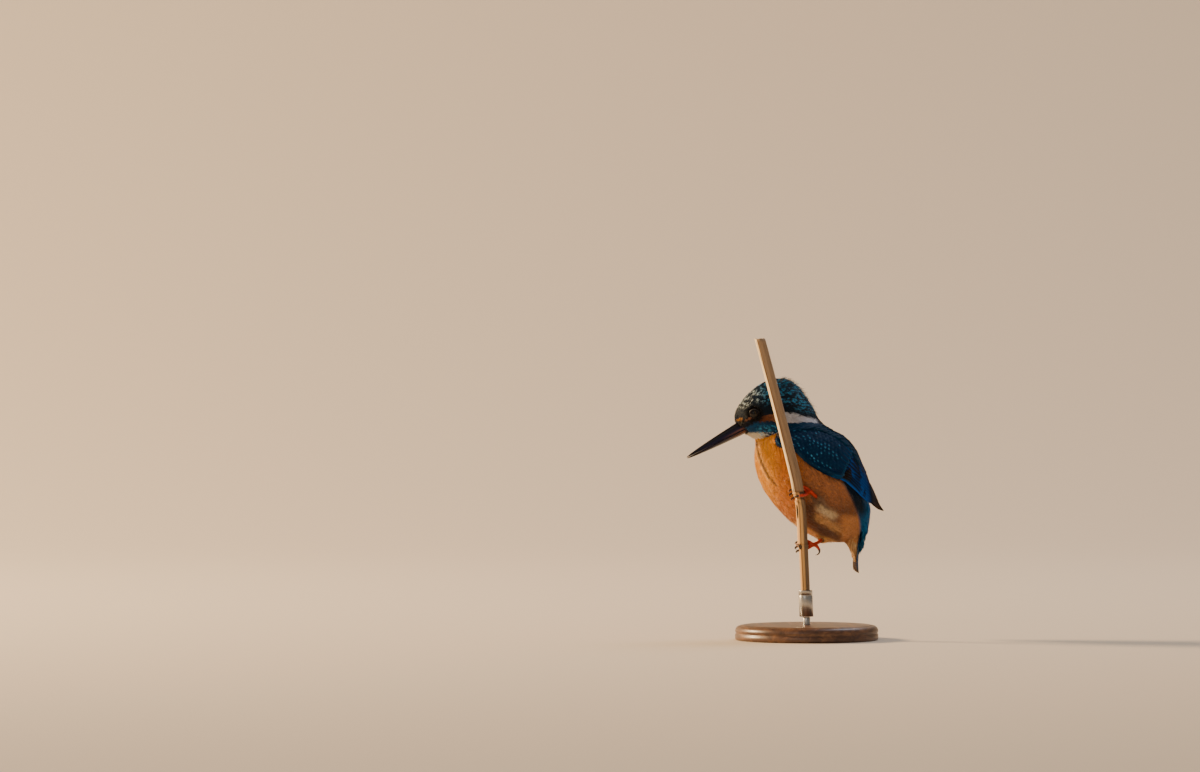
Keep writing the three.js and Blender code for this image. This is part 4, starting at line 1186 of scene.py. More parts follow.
def vane_bodies(centre, normal, half, width, rise, across=5, dome=0.04, thick=0.12, round_by=18.0,
                ragged=0.0, seed=0):
    """Closed vanes along centre lines: n feathers of m stations, half and rise in mm.

    Returns points, faces, across (-1 to 1) and feather number of each point."""
    rng = np.random.default_rng(seed)
    along = unit(np.gradient(centre, axis=1))
    side = unit(np.cross(along, normal))
    wide = (half[:, None] * width)[..., None]
    q_top = np.linspace(-1, 1, across)
    q_low = np.array([0.6, 0.0, -0.6])
    ring = []
    for q, above in [(q, 1) for q in q_top] + [(q, 0) for q in q_low]:
        lifted = rise[..., None] + wide * dome * (1 - q * q) - (wide * q) ** 2 / (2 * round_by)
        if above:
            shaft = np.linspace(1, 0, centre.shape[1])[None, :, None]
            lifted = lifted + 0.08 * np.exp(-((q / 0.12) ** 2)) * shaft
        else:
            lifted = lifted - thick
        ring.append(centre + side * wide * q + normal * lifted)
    ring = np.stack(ring, 2)
    n, m, k = ring.shape[:3]
    if ragged:
        tooth = rng.uniform(-1, 0.6, (n, 1, k)) * np.array([0.35, 1.0])[None, :, None]
        tooth[..., across:] = 0
        ring[:, -2:] += along[:, -2:, None] * (tooth * ragged * half[:, None, None])[..., None]
    faces = [(i * k + j, i * k + (j + 1) % k, (i + 1) * k + (j + 1) % k, (i + 1) * k + j)
             for i in range(m - 1) for j in range(k)]
    last = (m - 1) * k
    faces += [(0, j + 1, j, -1) for j in range(1, k - 1)]
    faces += [(last, last + j, last + j + 1, -1) for j in range(1, k - 1)]
    q_all = np.broadcast_to(np.concatenate([q_top, q_low]), (n, m, k))
    return ring.reshape(-1, 3), copies(faces, n, m * k), q_all.ravel(), np.repeat(np.arange(n), m * k)


def build_piece(name, points, faces, colours, bake, material, vane=None):
    """A closed mesh piece in metres with its plume colours, OFBake map and place on the vane."""
    size = (faces[:, 3] >= 0).astype(int) + 3
    corners = faces[np.arange(4)[None] < size[:, None]]
    mesh = bpy.data.meshes.new(name)
    mesh.vertices.add(len(points))
    mesh.vertices.foreach_set("co", (points / 1000).astype(np.float32).ravel())
    mesh.loops.add(len(corners))
    mesh.loops.foreach_set("vertex_index", corners.astype(np.int32))
    mesh.polygons.add(len(faces))
    mesh.polygons.foreach_set("loop_start", (np.cumsum(size) - size).astype(np.int32))
    mesh.polygons.foreach_set("use_smooth", [True] * len(faces))
    mesh.update(calc_edges=True)
    paint(mesh, colours)
    layer = mesh.uv_layers.new(name="OFBake")
    layer.data.foreach_set("uv", bake[corners].astype(np.float32).ravel())
    layer = mesh.attributes.new("vane", "FLOAT_VECTOR", "POINT")
    vane = np.zeros(points.shape) if vane is None else vane
    layer.data.foreach_set("vector", vane.astype(np.float32).ravel())
    mesh.materials.append(material)
    piece = bpy.data.objects.new(name, mesh)
    bpy.context.collection.objects.link(piece)
    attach(piece, "root")
    return piece


def lay_feathers(base, way, length, lift, seed):
    """Root, middle and tip of each feather, laid back over the skin, with side and normal."""
    rng = np.random.default_rng(seed)
    spot, normal, _ = nearest(skin_tree, base)
    way = along_surface(way, normal)
    side = unit(np.cross(way, normal))
    way = unit(way + side * rng.normal(0, 0.09, len(base))[:, None])
    mid, mid_normal, _ = nearest(skin_tree, spot + way * length[:, None] * 0.5)
    tip, tip_normal, _ = nearest(skin_tree, spot + way * length[:, None])
    high = lift * rng.uniform(0.8, 1.2, len(base))
    mid = mid + mid_normal * (0.6 * high)[:, None]
    tip = tip + tip_normal * high[:, None]
    return [spot - normal * 0.15, mid, tip, side, unit(normal + tip_normal)]


def vane_material(name, roughness, ior, sheen, lines, contrast):
    """The look of a feather's vane: its barbs are fine lines that slant back from the shaft.

    lines is the angle their wave turns in a mm, so that 18 sets them 0.35 mm apart and 22
    0.29 mm. Real barbs lie closer and would blur. contrast is how clearly they show."""
    material, tree, shader = new_material(name, roughness, ior, Sheen_Weight=sheen, Sheen_Roughness=0.4)
    tint = add_node(tree, "ShaderNodeAttribute", attribute_name="plume")
    vane = add_node(tree, "ShaderNodeAttribute", attribute_name="vane")
    split = add_node(tree, "ShaderNodeSeparateXYZ", links={"Vector": vane.outputs["Vector"]})
    out = add_node(tree, "ShaderNodeMath", links={0: split.outputs["X"]}, operation="ABSOLUTE")
    slant = add_node(tree, "ShaderNodeMath", links={0: split.outputs["Y"], 1: out.outputs["Value"]},
                     operation="SUBTRACT")
    wave = add_node(tree, "ShaderNodeMath", {1: lines}, {0: slant.outputs["Value"]}, operation="MULTIPLY")
    barb = add_node(tree, "ShaderNodeMath", links={0: wave.outputs["Value"]}, operation="SINE")
    place = add_node(tree, "ShaderNodeTexCoord")
    # Flecks 0.8 mm across, where barbs part or lie double.
    fleck = add_node(tree, "ShaderNodeTexNoise", {"Scale": 1300.0, "Detail": 3.0},
                     {"Vector": place.outputs["Object"]})
    level = add_node(tree, "ShaderNodeMath", {1: 0.35}, {0: barb.outputs["Value"], 2: fleck.outputs["Fac"]},
                     operation="MULTIPLY_ADD")
    span = {"From Min": -0.1, "From Max": 1.1, "To Min": 0.98 - contrast, "To Max": 0.98 + contrast}
    shade = add_node(tree, "ShaderNodeMapRange", span, {"Value": level.outputs["Value"]})
    mixed = add_node(tree, "ShaderNodeMix", {"Factor": 1.0}, data_type="RGBA", blend_type="MULTIPLY")
    bump = add_node(tree, "ShaderNodeBump", {"Strength": 1.4 * contrast, "Distance": 0.00008},
                    {"Height": barb.outputs["Value"]})
    tree.links.new(tint.outputs["Color"], mixed.inputs[6])
    tree.links.new(shade.outputs["Result"], mixed.inputs[7])
    tree.links.new(mixed.outputs[2], shader.inputs["Base Color"])
    tree.links.new(bump.outputs["Normal"], shader.inputs["Normal"])
    return material


# Rufous vanes are matt and loose, with a soft sheen. Blue ones are satin, from their tight barbs.
rufous_barbs = vane_material("rufous_feather_barbs", 0.8, 1.4, 0.2, 18.0, 0.1)
blue_barbs = vane_material("blue_feather_barbs", 0.5, 1.3, 0.0, 22.0, 0.24)
CONTOUR_SHAPE = np.array([(0, 0.45), (0.35, 0.85), (0.65, 1.0), (0.88, 0.72), (1.0, 0.22)])


def grow_coat(feathers, half, seed):
    """Ragged vanes bent through root, middle and tip. Adds how far along each point lies."""
    root, mid, tip, _, normal = feathers
    a, width = CONTOUR_SHAPE.T
    centre = through(root[:, None], mid[:, None], tip[:, None], a[None, :, None])
    normals = np.broadcast_to(normal[:, None], centre.shape)
    level = np.zeros(centre.shape[:2])
    points, faces, q, owner = vane_bodies(centre, normals, half, width, level, dome=0.03, thick=0.1,
                                          round_by=20.0, ragged=0.4, seed=seed)
    far = np.broadcast_to(a[None, :, None], (len(half), len(a), len(points) // len(half) // len(a))).ravel()
    length = np.linalg.norm(tip - root, axis=1)
    vane = np.stack([q * half[owner], far * length[owner], np.zeros(len(far))], -1)
    return points, faces, far, q, owner, vane


def split_pieces(names, slots, group, points, faces, colours, bake, owner, materials, vane=None):
    """Parts of one growth of feathers as separate pieces, by the group number of each feather."""
    face_group = group[owner[faces[:, 0]]]
    point_group = group[owner]
    for number, (name, slot, material) in enumerate(zip(names, slots, materials)):
        own = point_group == number
        renumber = np.cumsum(own) - 1
        part = faces[face_group == number]
        part = np.where(part >= 0, renumber[part], -1)
        piece = build_piece(name, points[own], part, colours[own], bake[own], material,
                            None if vane is None else vane[own])


def bake_place(t, angle, owner, across, far):
    """OFBake: each feather is a small patch at its root's angle and distance along the skin."""
    return np.stack([0.01 + 0.98 * angle[owner] / (2 * np.pi) + 0.0014 * across,
                     0.01 + 0.97 * t[owner] + 0.003 * (far - 0.5)], -1)


# Head: feathers 2 to 5 mm long, from the bill back.
root, t, angle = staggered(HEAD_STATIONS, head_to_world, 64, 1.12, 11)
front = on_rings(HEAD_STATIONS, np.zeros(20), np.arange(20) / 20 * 2 * np.pi)
for share, count in ((0.85, 20), (0.6, 14), (0.35, 8), (0.1, 3)):
    ring = on_rings(HEAD_STATIONS, np.zeros(count), np.arange(count) / count * 2 * np.pi)
    root = np.concatenate([root, head_to_world(front.mean(0) + (ring - front.mean(0)) * share)])
    t = np.concatenate([t, np.full(count, 0.001 * share)])
    angle = np.concatenate([angle, np.arange(count) / count * 2 * np.pi])
spot, _, gap = nearest(skin_tree, root)
local, eye_gap, bill_gap = face_gaps(root)
_, _, wing_gap = nearest(wing_surface, root)
keep = (gap < 2.2) & (eye_gap > 4.2) & (bill_gap > 2.7) & (wing_gap > 0.5) & (over_neck_line(local) > -1.5)
root, t, angle, local = root[keep], t[keep], angle[keep], local[keep]
eye_gap, bill_gap = eye_gap[keep], bill_gap[keep]

face = np.minimum(step(3.6, 9, eye_gap), step(2.5, 10, bill_gap))
crown = step(-1, 3, local[:, 2] - np.interp(local[:, 1], [-43, -20, -12, 10], [135.5, 142.2, 138, 136]))
crown *= step(4.6, 7.5, eye_gap)
crest = np.clip(step(147, 153, local[:, 2]) * step(-20, -11, local[:, 1])
                + step(-4, 3, local[:, 1]) * step(136, 142, local[:, 2]), 0, 1)
rise = np.interp(local[:, 1], [-44, -30, -16, 0, 10], [0.8, 0.42, 0.0, -0.55, -0.9])
low = -0.25 - 0.2 * step(-20, -36, local[:, 1])
front = step(-37, -43, local[:, 1])
rise = low + (rise - low) * step(129.5 - 3.5 * front, 138 - 9 * front, local[:, 2])
away = unit(local - EYE_IN_HEAD * [0, 1, 1] - np.sign(local[:, :1]) * EYE_IN_HEAD * [1, 0, 0])
round_eye = step(7.5, 4.5, eye_gap)[:, None]
way = np.stack([0 * rise, 1 + 0 * rise, rise], -1) * (1 - 0.35 * round_eye) + 0.35 * away * round_eye
way = head_to_world(way) - head_to_world(np.zeros((1, 3)))
length = 1.9 + 2.4 * face + 0.9 * crest
half = 0.5 + 0.34 * face
lift = 0.25 + 0.4 * face + 0.5 * crest
feathers = lay_feathers(root, way, length, lift, 21)
points, faces, far, across, owner = grow_tufts(*feathers, half, np.full(len(root), 0.6), 31, strands=4,
                                               rings=(0.0, 0.5, 0.72, 0.9))
rng = np.random.default_rng(41)
chance = rng.uniform(0, 1, len(root))
tip_colour = head_colour(feathers[2])
# Spots are azure; toward the forehead they are painted near white as painted highlights.
spot_and_glint_colour = blend("3f9fd0", "d4e2e0", step(-28, -37, local[:, 1]) * step(131, 137, local[:, 2]))
malar_gap, _ = off_path(local[:, 1], local[:, 2], MOUSTACHE)
malar = step(3.8, 2.4, malar_gap) * step(-36, -32, local[:, 1])
pale_edge = step(126.2, 124.4, local[:, 2]) * step(-16, -20, local[:, 1]) * step(-33, -30, local[:, 1])
spot_and_glint_colour = blend(spot_and_glint_colour, "dfeaf0", pale_edge)
spotted = np.clip(np.maximum(crown * step(0.42, 0.7, chance), malar * step(0.5, 0.65, chance)), 0, 1)
spots = step(0.56, 0.64, far) * step(1.0, 0.86, far) * step(1.1, 0.5, np.abs(across))
tint = blend(tip_colour[owner], spot_and_glint_colour[owner], 0.85 * spots * spotted[owner])
# Darker toward the root: partly greyer bases, partly painted shade under the next row; each feather's tone
# differs at random.
shade = (0.68 + 0.32 * step(0.1, 0.6, far)) * (0.86 + 0.28 * rng.random(len(root)))[owner]
split_pieces(["head_feathers_left", "head_feathers_right"], ["plumage_crown"] * 2,
             (local[:, 0] < 0).astype(int), points, faces, tint * shade[:, None],
             bake_place(t, angle, owner, across, far), owner, [blue_barbs] * 2)

# Crest: slender loose plumes that stand out over the hind crown and down the nape.
keep = (crest > 0.2) & (chance > 0.3)
root, t, angle, local = root[keep], t[keep], angle[keep], local[keep]
n = len(root)
rng = np.random.default_rng(44)
high = rng.uniform(0.9, 2.1, n) + rng.uniform(0, 1.9, n) * step(8, 3, np.abs(local[:, 0]))
feathers = lay_feathers(root, way[keep], rng.uniform(3.4, 5.8, n), high, 24)
points, faces, far, across, owner = grow_tufts(*feathers, np.full(n, 0.5), np.full(n, 0.42), 34, strands=3)
tint = blend("0b2b40", "2f8ab8", step(0.55, 0.95, rng.random(n)))[owner]
split_pieces(["crest_plumes"], ["plumage_crown"], np.zeros(n, int), points, faces, tint,
             bake_place(t, angle, owner, across, far), owner, [blue_barbs])


def lie_of_body(points):
    """The way feathers lie: straight down the breast, back along flank and belly, down at the vent."""
    run = points[:, 1] + 0.087 * np.abs(points[:, 0] - MEDIAN)
    back = np.interp(run, [-28, -12, 5, 18, 26, 34], [0.1, 0.36, 0.7, 0.74, 0.5, 0.22])
    return np.stack([0 * back, back, -np.sqrt(1 - back**2)], -1)


def body_roots(rows, gap, seed):
    """Roots on neck and trunk outside the folded wings, with t and angle of each."""
    root, t, angle = staggered(TRUNK_STATIONS, body_to_world, rows, gap, seed)
    _, _, skin_gap = nearest(skin_tree, root)
    _, _, wing_gap = nearest(wing_surface, root)
    wing_edge = np.interp(root[:, 1], [-13, -12, 24, 30], [0.4, 0.9, 0.9, 0.1])
    keep = (skin_gap < 3.4) & (wing_gap > wing_edge) & (over_neck_line(world_to_head(root)) < 0.5)
    return root[keep], t[keep], angle[keep]


def body_pieces(kind, own_share, tips, shade, points, faces, bake, owner, vane=None):
    """Body feathers as three pieces: rufous left and right, and the azure of the back."""
    tip_colour = plumage_colour(tips)
    group = np.where(tip_colour[:, 2] > tip_colour[:, 0], 2, (tips[:, 0] < MEDIAN).astype(int))
    mixed = (1 - own_share) * tip_colour[owner] + own_share * plumage_colour(points)
    split_pieces([f"breast_{kind}_left", f"breast_{kind}_right", f"back_{kind}"],
                 ["plumage_rufous", "plumage_rufous", "plumage_azure"], group, points, faces,
                 mixed * shade[:, None], bake, owner, [rufous_barbs, rufous_barbs, blue_barbs], vane)


# Body: broad soft feathers 6 to 7 mm long, from the neck down to the vent. They lie close, so
# that the breast looks smooth. Only loose barbs cover the corner at the vent.
root, t, angle = body_roots(62, 1.85, 12)
keep = (root[:, 1] < 19.5) | (root[:, 2] > 65)
root, t, angle = root[keep], t[keep], angle[keep]
n = len(root)
rng = np.random.default_rng(42)
length = rng.uniform(6.0, 7.2, n)
half = rng.uniform(1.5, 1.8, n)
feathers = lay_feathers(root, lie_of_body(root), length, np.full(n, 0.42), 22)
points, faces, far, across, owner, vane = grow_coat(feathers, half, 32)
# Darker toward the root: partly greyer bases, partly painted shade under the next row; each feather's tone
# differs at random.
shade = (0.86 + 0.14 * step(0.1, 0.6, far)) * (0.94 + 0.12 * rng.random(n))[owner]
bake = bake_place(t, angle, owner, across, far)
body_pieces("feathers", 0.85, feathers[2], shade, points, faces, bake, owner, vane)

# Fine loose barbs over them, hair-like, which make breast, flank and vent look soft.
root, t, angle = body_roots(92, 1.2, 14)
n = len(root)
rng = np.random.default_rng(45)
length = rng.uniform(4.8, 6.6, n)
feathers = lay_feathers(root, lie_of_body(root), length, rng.uniform(0.6, 1.1, n), 25)
points, faces, far, across, owner = grow_tufts(*feathers, rng.uniform(0.95, 1.4, n), np.full(n, 0.3), 35,
                                               strands=6, rings=(0.0, 0.55), uneven=0.34)
strand = np.repeat(rng.random(n * 6), len(points) // (n * 6))
# Darker toward the root: partly greyer bases, partly painted shade under the strands above; tones differ at
# random.
shade = (0.8 + 0.26 * step(0.0, 0.7, far)) * (0.9 + 0.2 * rng.random(n))[owner] * (0.93 + 0.14 * strand)
bake = bake_place(t, angle, owner, across, far)
body_pieces("wisps", 0.8, feathers[2], shade, points, faces, bake, owner)


# Thighs: short soft feathers down to the shank.
for side_name, thigh in (("left", [(-4.0, 13.0, 78.0), (6.6, 9.4, 82.6), (12.0, 5.4, 86.4)]),
                         ("right", [(-12.0, 14.0, 68.0), (-8.0, 11.6, 62.0), (-3.6, 8.8, 59.4)])):
    rings = tube(curve_through(thigh, 12), np.linspace(6.5, 2.7, 25), 20)[9:]
    along = unit(np.array(thigh[2]) - np.array(thigh[1]))
    root = rings.reshape(-1, 3)
    rng = np.random.default_rng(46)
    root = root + rng.uniform(-0.4, 0.4, root.shape)
    spot, normal, gap = nearest(skin_tree, root)
    keep = gap < 2.2
    root = root[keep]
    n = len(root)
    length = rng.uniform(2.8, 4.0, n)
    feathers = lay_feathers(root, np.broadcast_to(along, (n, 3)), length, rng.uniform(0.5, 1.0, n), 26)
    fall = along * 1.3 * rng.uniform(0.6, 1.2, (n, 1))
    feathers[2][:] = feathers[0] + (feathers[2] - feathers[0]) * 0.6 + fall
    points, faces, far, across, owner = grow_tufts(*feathers, np.full(n, 0.95), np.full(n, 0.36), 36,
                                                   rings=(0.0, 0.55))
    tint = blend(plumage_colour(feathers[2]), "8a6a4c", 0.5)
    tint = (tint * (0.85 + 0.3 * rng.random((n, 1))))[owner]
    angle = (np.arange(len(keep)) % 20 / 20 * 2 * np.pi)[keep]
    t = (np.arange(len(keep)) // 20 / 16)[keep]
    bake = bake_place(t, angle, owner, across, far)
    piece = build_piece(f"thigh_feathers_{side_name}", points, faces, tint, bake, rufous_barbs)

# A cuff of the thigh's last feathers closes over the top of each shank.
for side_name, foot in FEET.items():
    top, lower = np.array(foot["tarsus"][0]), np.array(foot["tarsus"][1])
    along = unit(lower - top)
    rng = np.random.default_rng(47)
    n = 84
    turn = (np.arange(n)[:, None] * 2.4 + rng.uniform(-0.1, 0.1, (n, 1))) % (2 * np.pi)
    first = unit(np.cross(along, [0.0, 0.0, 1.0]))
    radial = np.cos(turn) * first + np.sin(turn) * np.cross(along, first)
    reach = rng.uniform(0.9, 3.2, (n, 1))
    feathers = [top - along * 1.9 + radial * 0.9, top - along * 0.3 + radial * 1.8,
                top + along * reach + radial * 1.55, np.cross(along, radial), radial]
    points, faces, far, across, owner = grow_tufts(*feathers, np.full(n, 0.6), np.full(n, 0.36), 37,
                                                   rings=(0.0, 0.55))
    tint = blend("8a5a34", "a98763", rng.random(n))[owner]
    bake = bake_place(reach[:, 0] / 4, turn[:, 0], owner, across, far)
    piece = build_piece(f"shank_cuff_{side_name}", points, faces, tint, bake, rufous_barbs)

# ---------------------------------------------------------------------------
# Wings. Each folded wing is shingled from the shoulder back: small coverts with an azure
# spot at the tip, one row of greater coverts, long scapulars over the top, then blue-edged
# secondaries, and under them the brown black primaries that make the wing tip.

# Edges of the folded wing from its bend to its tip, in mm from the median plane: x, y, z.
# Points 60 mm out stand clear of the bird and are brought in onto it.
WING_LOWER = np.array([
    (60, -20.6, 121.2), (60, -18.6, 116.8), (60, -8.7, 114.4), (60, -2.5, 108.2), (60, 4.4, 103.4),
    (60, 12.8, 99.4), (60, 19.6, 97.2), (19.0, 24.5, 92.4), (16.6, 30.8, 87.2), (11.3, 38.6, 81.6),
    (5.8, 46.4, 76.6),
])
WING_UPPER = np.array([
    (12.2, -18, 124.8), (11.4, -10, 126.6), (9.9, 4, 128), (8.8, 12, 126.5), (7.6, 20, 123.5),
    (6.3, 27, 118.5), (4.9, 33, 110.5), (2.1, 37.5, 100.5), (1.7, 41.5, 91), (2.2, 44, 84), (5.0, 47, 76.6),
])
form_mesh = flesh_mesh(FLESH + WING_ARM + WING_BLADE, FLESH_CELL)
form_points, form_edges = mesh_arrays(form_mesh)
form_points = relax(form_points, form_edges, 8)
form_tree = BVHTree.FromPolygons(
    [tuple(p) for p in form_points], [tuple(f.vertices) for f in form_mesh.polygons],
)
bpy.data.meshes.remove(form_mesh)

lower_edge, upper_edge = body_to_world(WING_LOWER), body_to_world(WING_UPPER)
for i in range(7):
    lower_edge[i] = form_tree.ray_cast(Vector(lower_edge[i]), Vector((-1, 0, 0)))[0]
    upper_edge[i] = form_tree.find_nearest(Vector(upper_edge[i]))[0]
# The free end of the wing: upper edge x y z, lower edge x y z and outward bulge in mm, at
# these shares of the span.
BLADE_SPAN = [0.57, 0.68, 0.80, 0.89, 0.965, 1.0]
BLADE = np.array([
    (3.4, 31.0, 108.0, 19.0, 17.0, 100.0, 2.6), (2.2, 36.8, 101.0, 19.0, 25.0, 94.4, 2.4),
    (1.6, 40.6, 92.6, 16.0, 32.4, 87.2, 2.4), (2.0, 43.0, 85.2, 11.2, 38.8, 81.6, 1.9),
    (3.4, 45.2, 79.6, 7.6, 43.6, 78.2, 0.9), (5.0, 46.9, 76.6, 5.8, 46.6, 76.4, 0.1),
])
GRID_S, GRID_W = 61, 25
wing_s, wing_w = np.linspace(0, 1, GRID_S), np.linspace(0, 1, GRID_W)
wing_grid = np.zeros((GRID_S, GRID_W, 3))
for i, (low, top) in enumerate(zip(smooth_rows(lower_edge, wing_s), smooth_rows(upper_edge, wing_s))):
    chord = unit(top - low)
    outward = np.array([0.8, 0.4, 0.45])
    outward = unit(outward - outward.dot(chord) * chord)
    core = (low + top) / 2 - 12 * outward
    for j, w in enumerate(wing_w):
        ray = unit(unit(low - core) * (1 - w) + unit(top - core) * w)
        hit = form_tree.ray_cast(Vector(core + 50 * ray), Vector(-ray), 50)[0]
        straight = low + (top - low) * w
        wing_grid[i, j] = hit if hit is not None and (Vector(straight) - hit).length < 12 else straight
    if wing_s[i] > BLADE_SPAN[0]:
        row = np.array([np.interp(wing_s[i], BLADE_SPAN, column) for column in BLADE.T])
        bow = np.sin(np.pi * wing_w)[:, None]
        blade = row[3:6] + (row[:3] - row[3:6]) * wing_w[:, None]
        blade = body_to_world(blade + unit(np.array([0.62, 0.66, 0.42])) * ((row[6] + 0.55) * bow + 0.42))
        share = step(BLADE_SPAN[0], BLADE_SPAN[1], wing_s[i])
        wing_grid[i] = wing_grid[i] * (1 - share) + blade * share
for _ in range(3):
    padded = np.pad(wing_grid, ((1, 1), (1, 1), (0, 0)), mode="reflect", reflect_type="odd")
    around = padded[2:, 1:-1] + padded[:-2, 1:-1] + padded[1:-1, 2:] + padded[1:-1, :-2]
    wing_grid = 0.5 * wing_grid + 0.125 * around
wing_normals = unit(np.cross(np.gradient(wing_grid, axis=0), np.gradient(wing_grid, axis=1)))
if wing_normals[20, 8, 0] < 0:
    wing_normals = -wing_normals


def on_wing(s, w):
    """Point and normal on the left wing, s from bend to tip, w from lower to upper edge."""
    place_s, place_w = s * (GRID_S - 1), w * (GRID_W - 1)
    i = np.clip(place_s.astype(int), 0, GRID_S - 2)
    j = np.clip(place_w.astype(int), 0, GRID_W - 2)
    u, v = (place_s - i)[..., None], (place_w - j)[..., None]

    def mixed(grid):
        return (grid[i, j] * (1 - u) * (1 - v) + grid[i + 1, j] * u * (1 - v)
                + grid[i, j + 1] * (1 - u) * v + grid[i + 1, j + 1] * u * v)

    return mixed(wing_grid), unit(mixed(wing_normals))


def grow_vanes(surface, start, end, half, high, shape, across=5):
    """Vanes on a surface. start and end are (s, w) of each root and tip, half its half width
    in mm, high the height in mm at root and tip, shape the width along it."""
    a, width = np.array(shape).T
    path = start[:, None] + (end - start)[:, None] * a[None, :, None]
    centre, normal = surface(path[..., 0], path[..., 1])
    rise = high[:, :1] + (high[:, 1:] - high[:, :1]) * a
    points, faces, q, owner = vane_bodies(centre, normal, half, width, rise, across)
    far = np.broadcast_to(a[None, :, None], (len(half), len(a), across + 3)).ravel()
    return points, faces, far, q, owner


COVERT_SHAPE = [(0, 0.55), (0.3, 0.9), (0.58, 1.0), (0.76, 0.96), (0.88, 0.78), (0.96, 0.48), (1.0, 0.16)]
FLIGHT_SHAPE = [(0, 0.6), (0.2, 0.92), (0.45, 1.0), (0.65, 0.98), (0.8, 0.88), (0.9, 0.7), (0.96, 0.46),
                (1.0, 0.12)]
SPAN = 86.0  # mm from bend to tip along the wing

# Wing vanes are satin too, and reflect a little less.
wing_barbs = vane_material("wing_vane_barbs", 0.5, 1.16, 0.0, 18.0, 0.24)


def vane_piece(name, slot, points, faces, colours, bake, vane, mirrored):
    """A piece of vanes with its barb lines, on the left side or mirrored to the right."""
    if mirrored:
        points = points * [-1, 1, 1] + [2 * MEDIAN, 0, 0]
        flipped = faces[:, ::-1].copy()
        three = faces[:, 3] < 0
        flipped[three] = np.stack([faces[three, 2], faces[three, 1], faces[three, 0], faces[three, 3]], -1)
        faces = flipped
    piece = build_piece(name, points, faces, colours, bake, wing_barbs, vane)
    return piece


def gather(parts):
    """Several growths of vanes as one: each is points, faces, colours, bake, vane."""
    starts = np.cumsum([0] + [len(p[0]) for p in parts[:-1]])
    faces = np.concatenate([np.where(p[1] >= 0, p[1] + s, -1) for p, s in zip(parts, starts)])
    points, colours, bake, vane = (np.concatenate([p[k] for p in parts]) for k in (0, 2, 3, 4))
    return points, faces, colours, bake, vane


def tract(start, end, half, high, shape, tint, seed, strip=None, **more):
    """One tract of vanes with its colours. tint gives colours from far, across and feather."""
    points, faces, far, across, owner = grow_vanes(on_wing, start, end, half, high, shape, **more)
    rng = np.random.default_rng(seed)
    colours = tint(far, across, owner, rng)
    run = np.linalg.norm(end - start, axis=1) * SPAN
    vane = np.stack([across * half[owner], far * run[owner], rng.random(len(half))[owner]], -1)
    if strip is None:
        bake = np.stack([0.02 + 0.95 * start[owner, 0] + 0.003 * (far - 0.5),
                         0.05 + 0.85 * start[owner, 1] + 0.0015 * across], -1)
    else:
        low, step_up = strip
        bake = np.stack([0.05 + 0.9 * far, low + step_up * (owner + 0.5 + 0.4 * across)], -1)
    return points, faces, colours, bake, vane


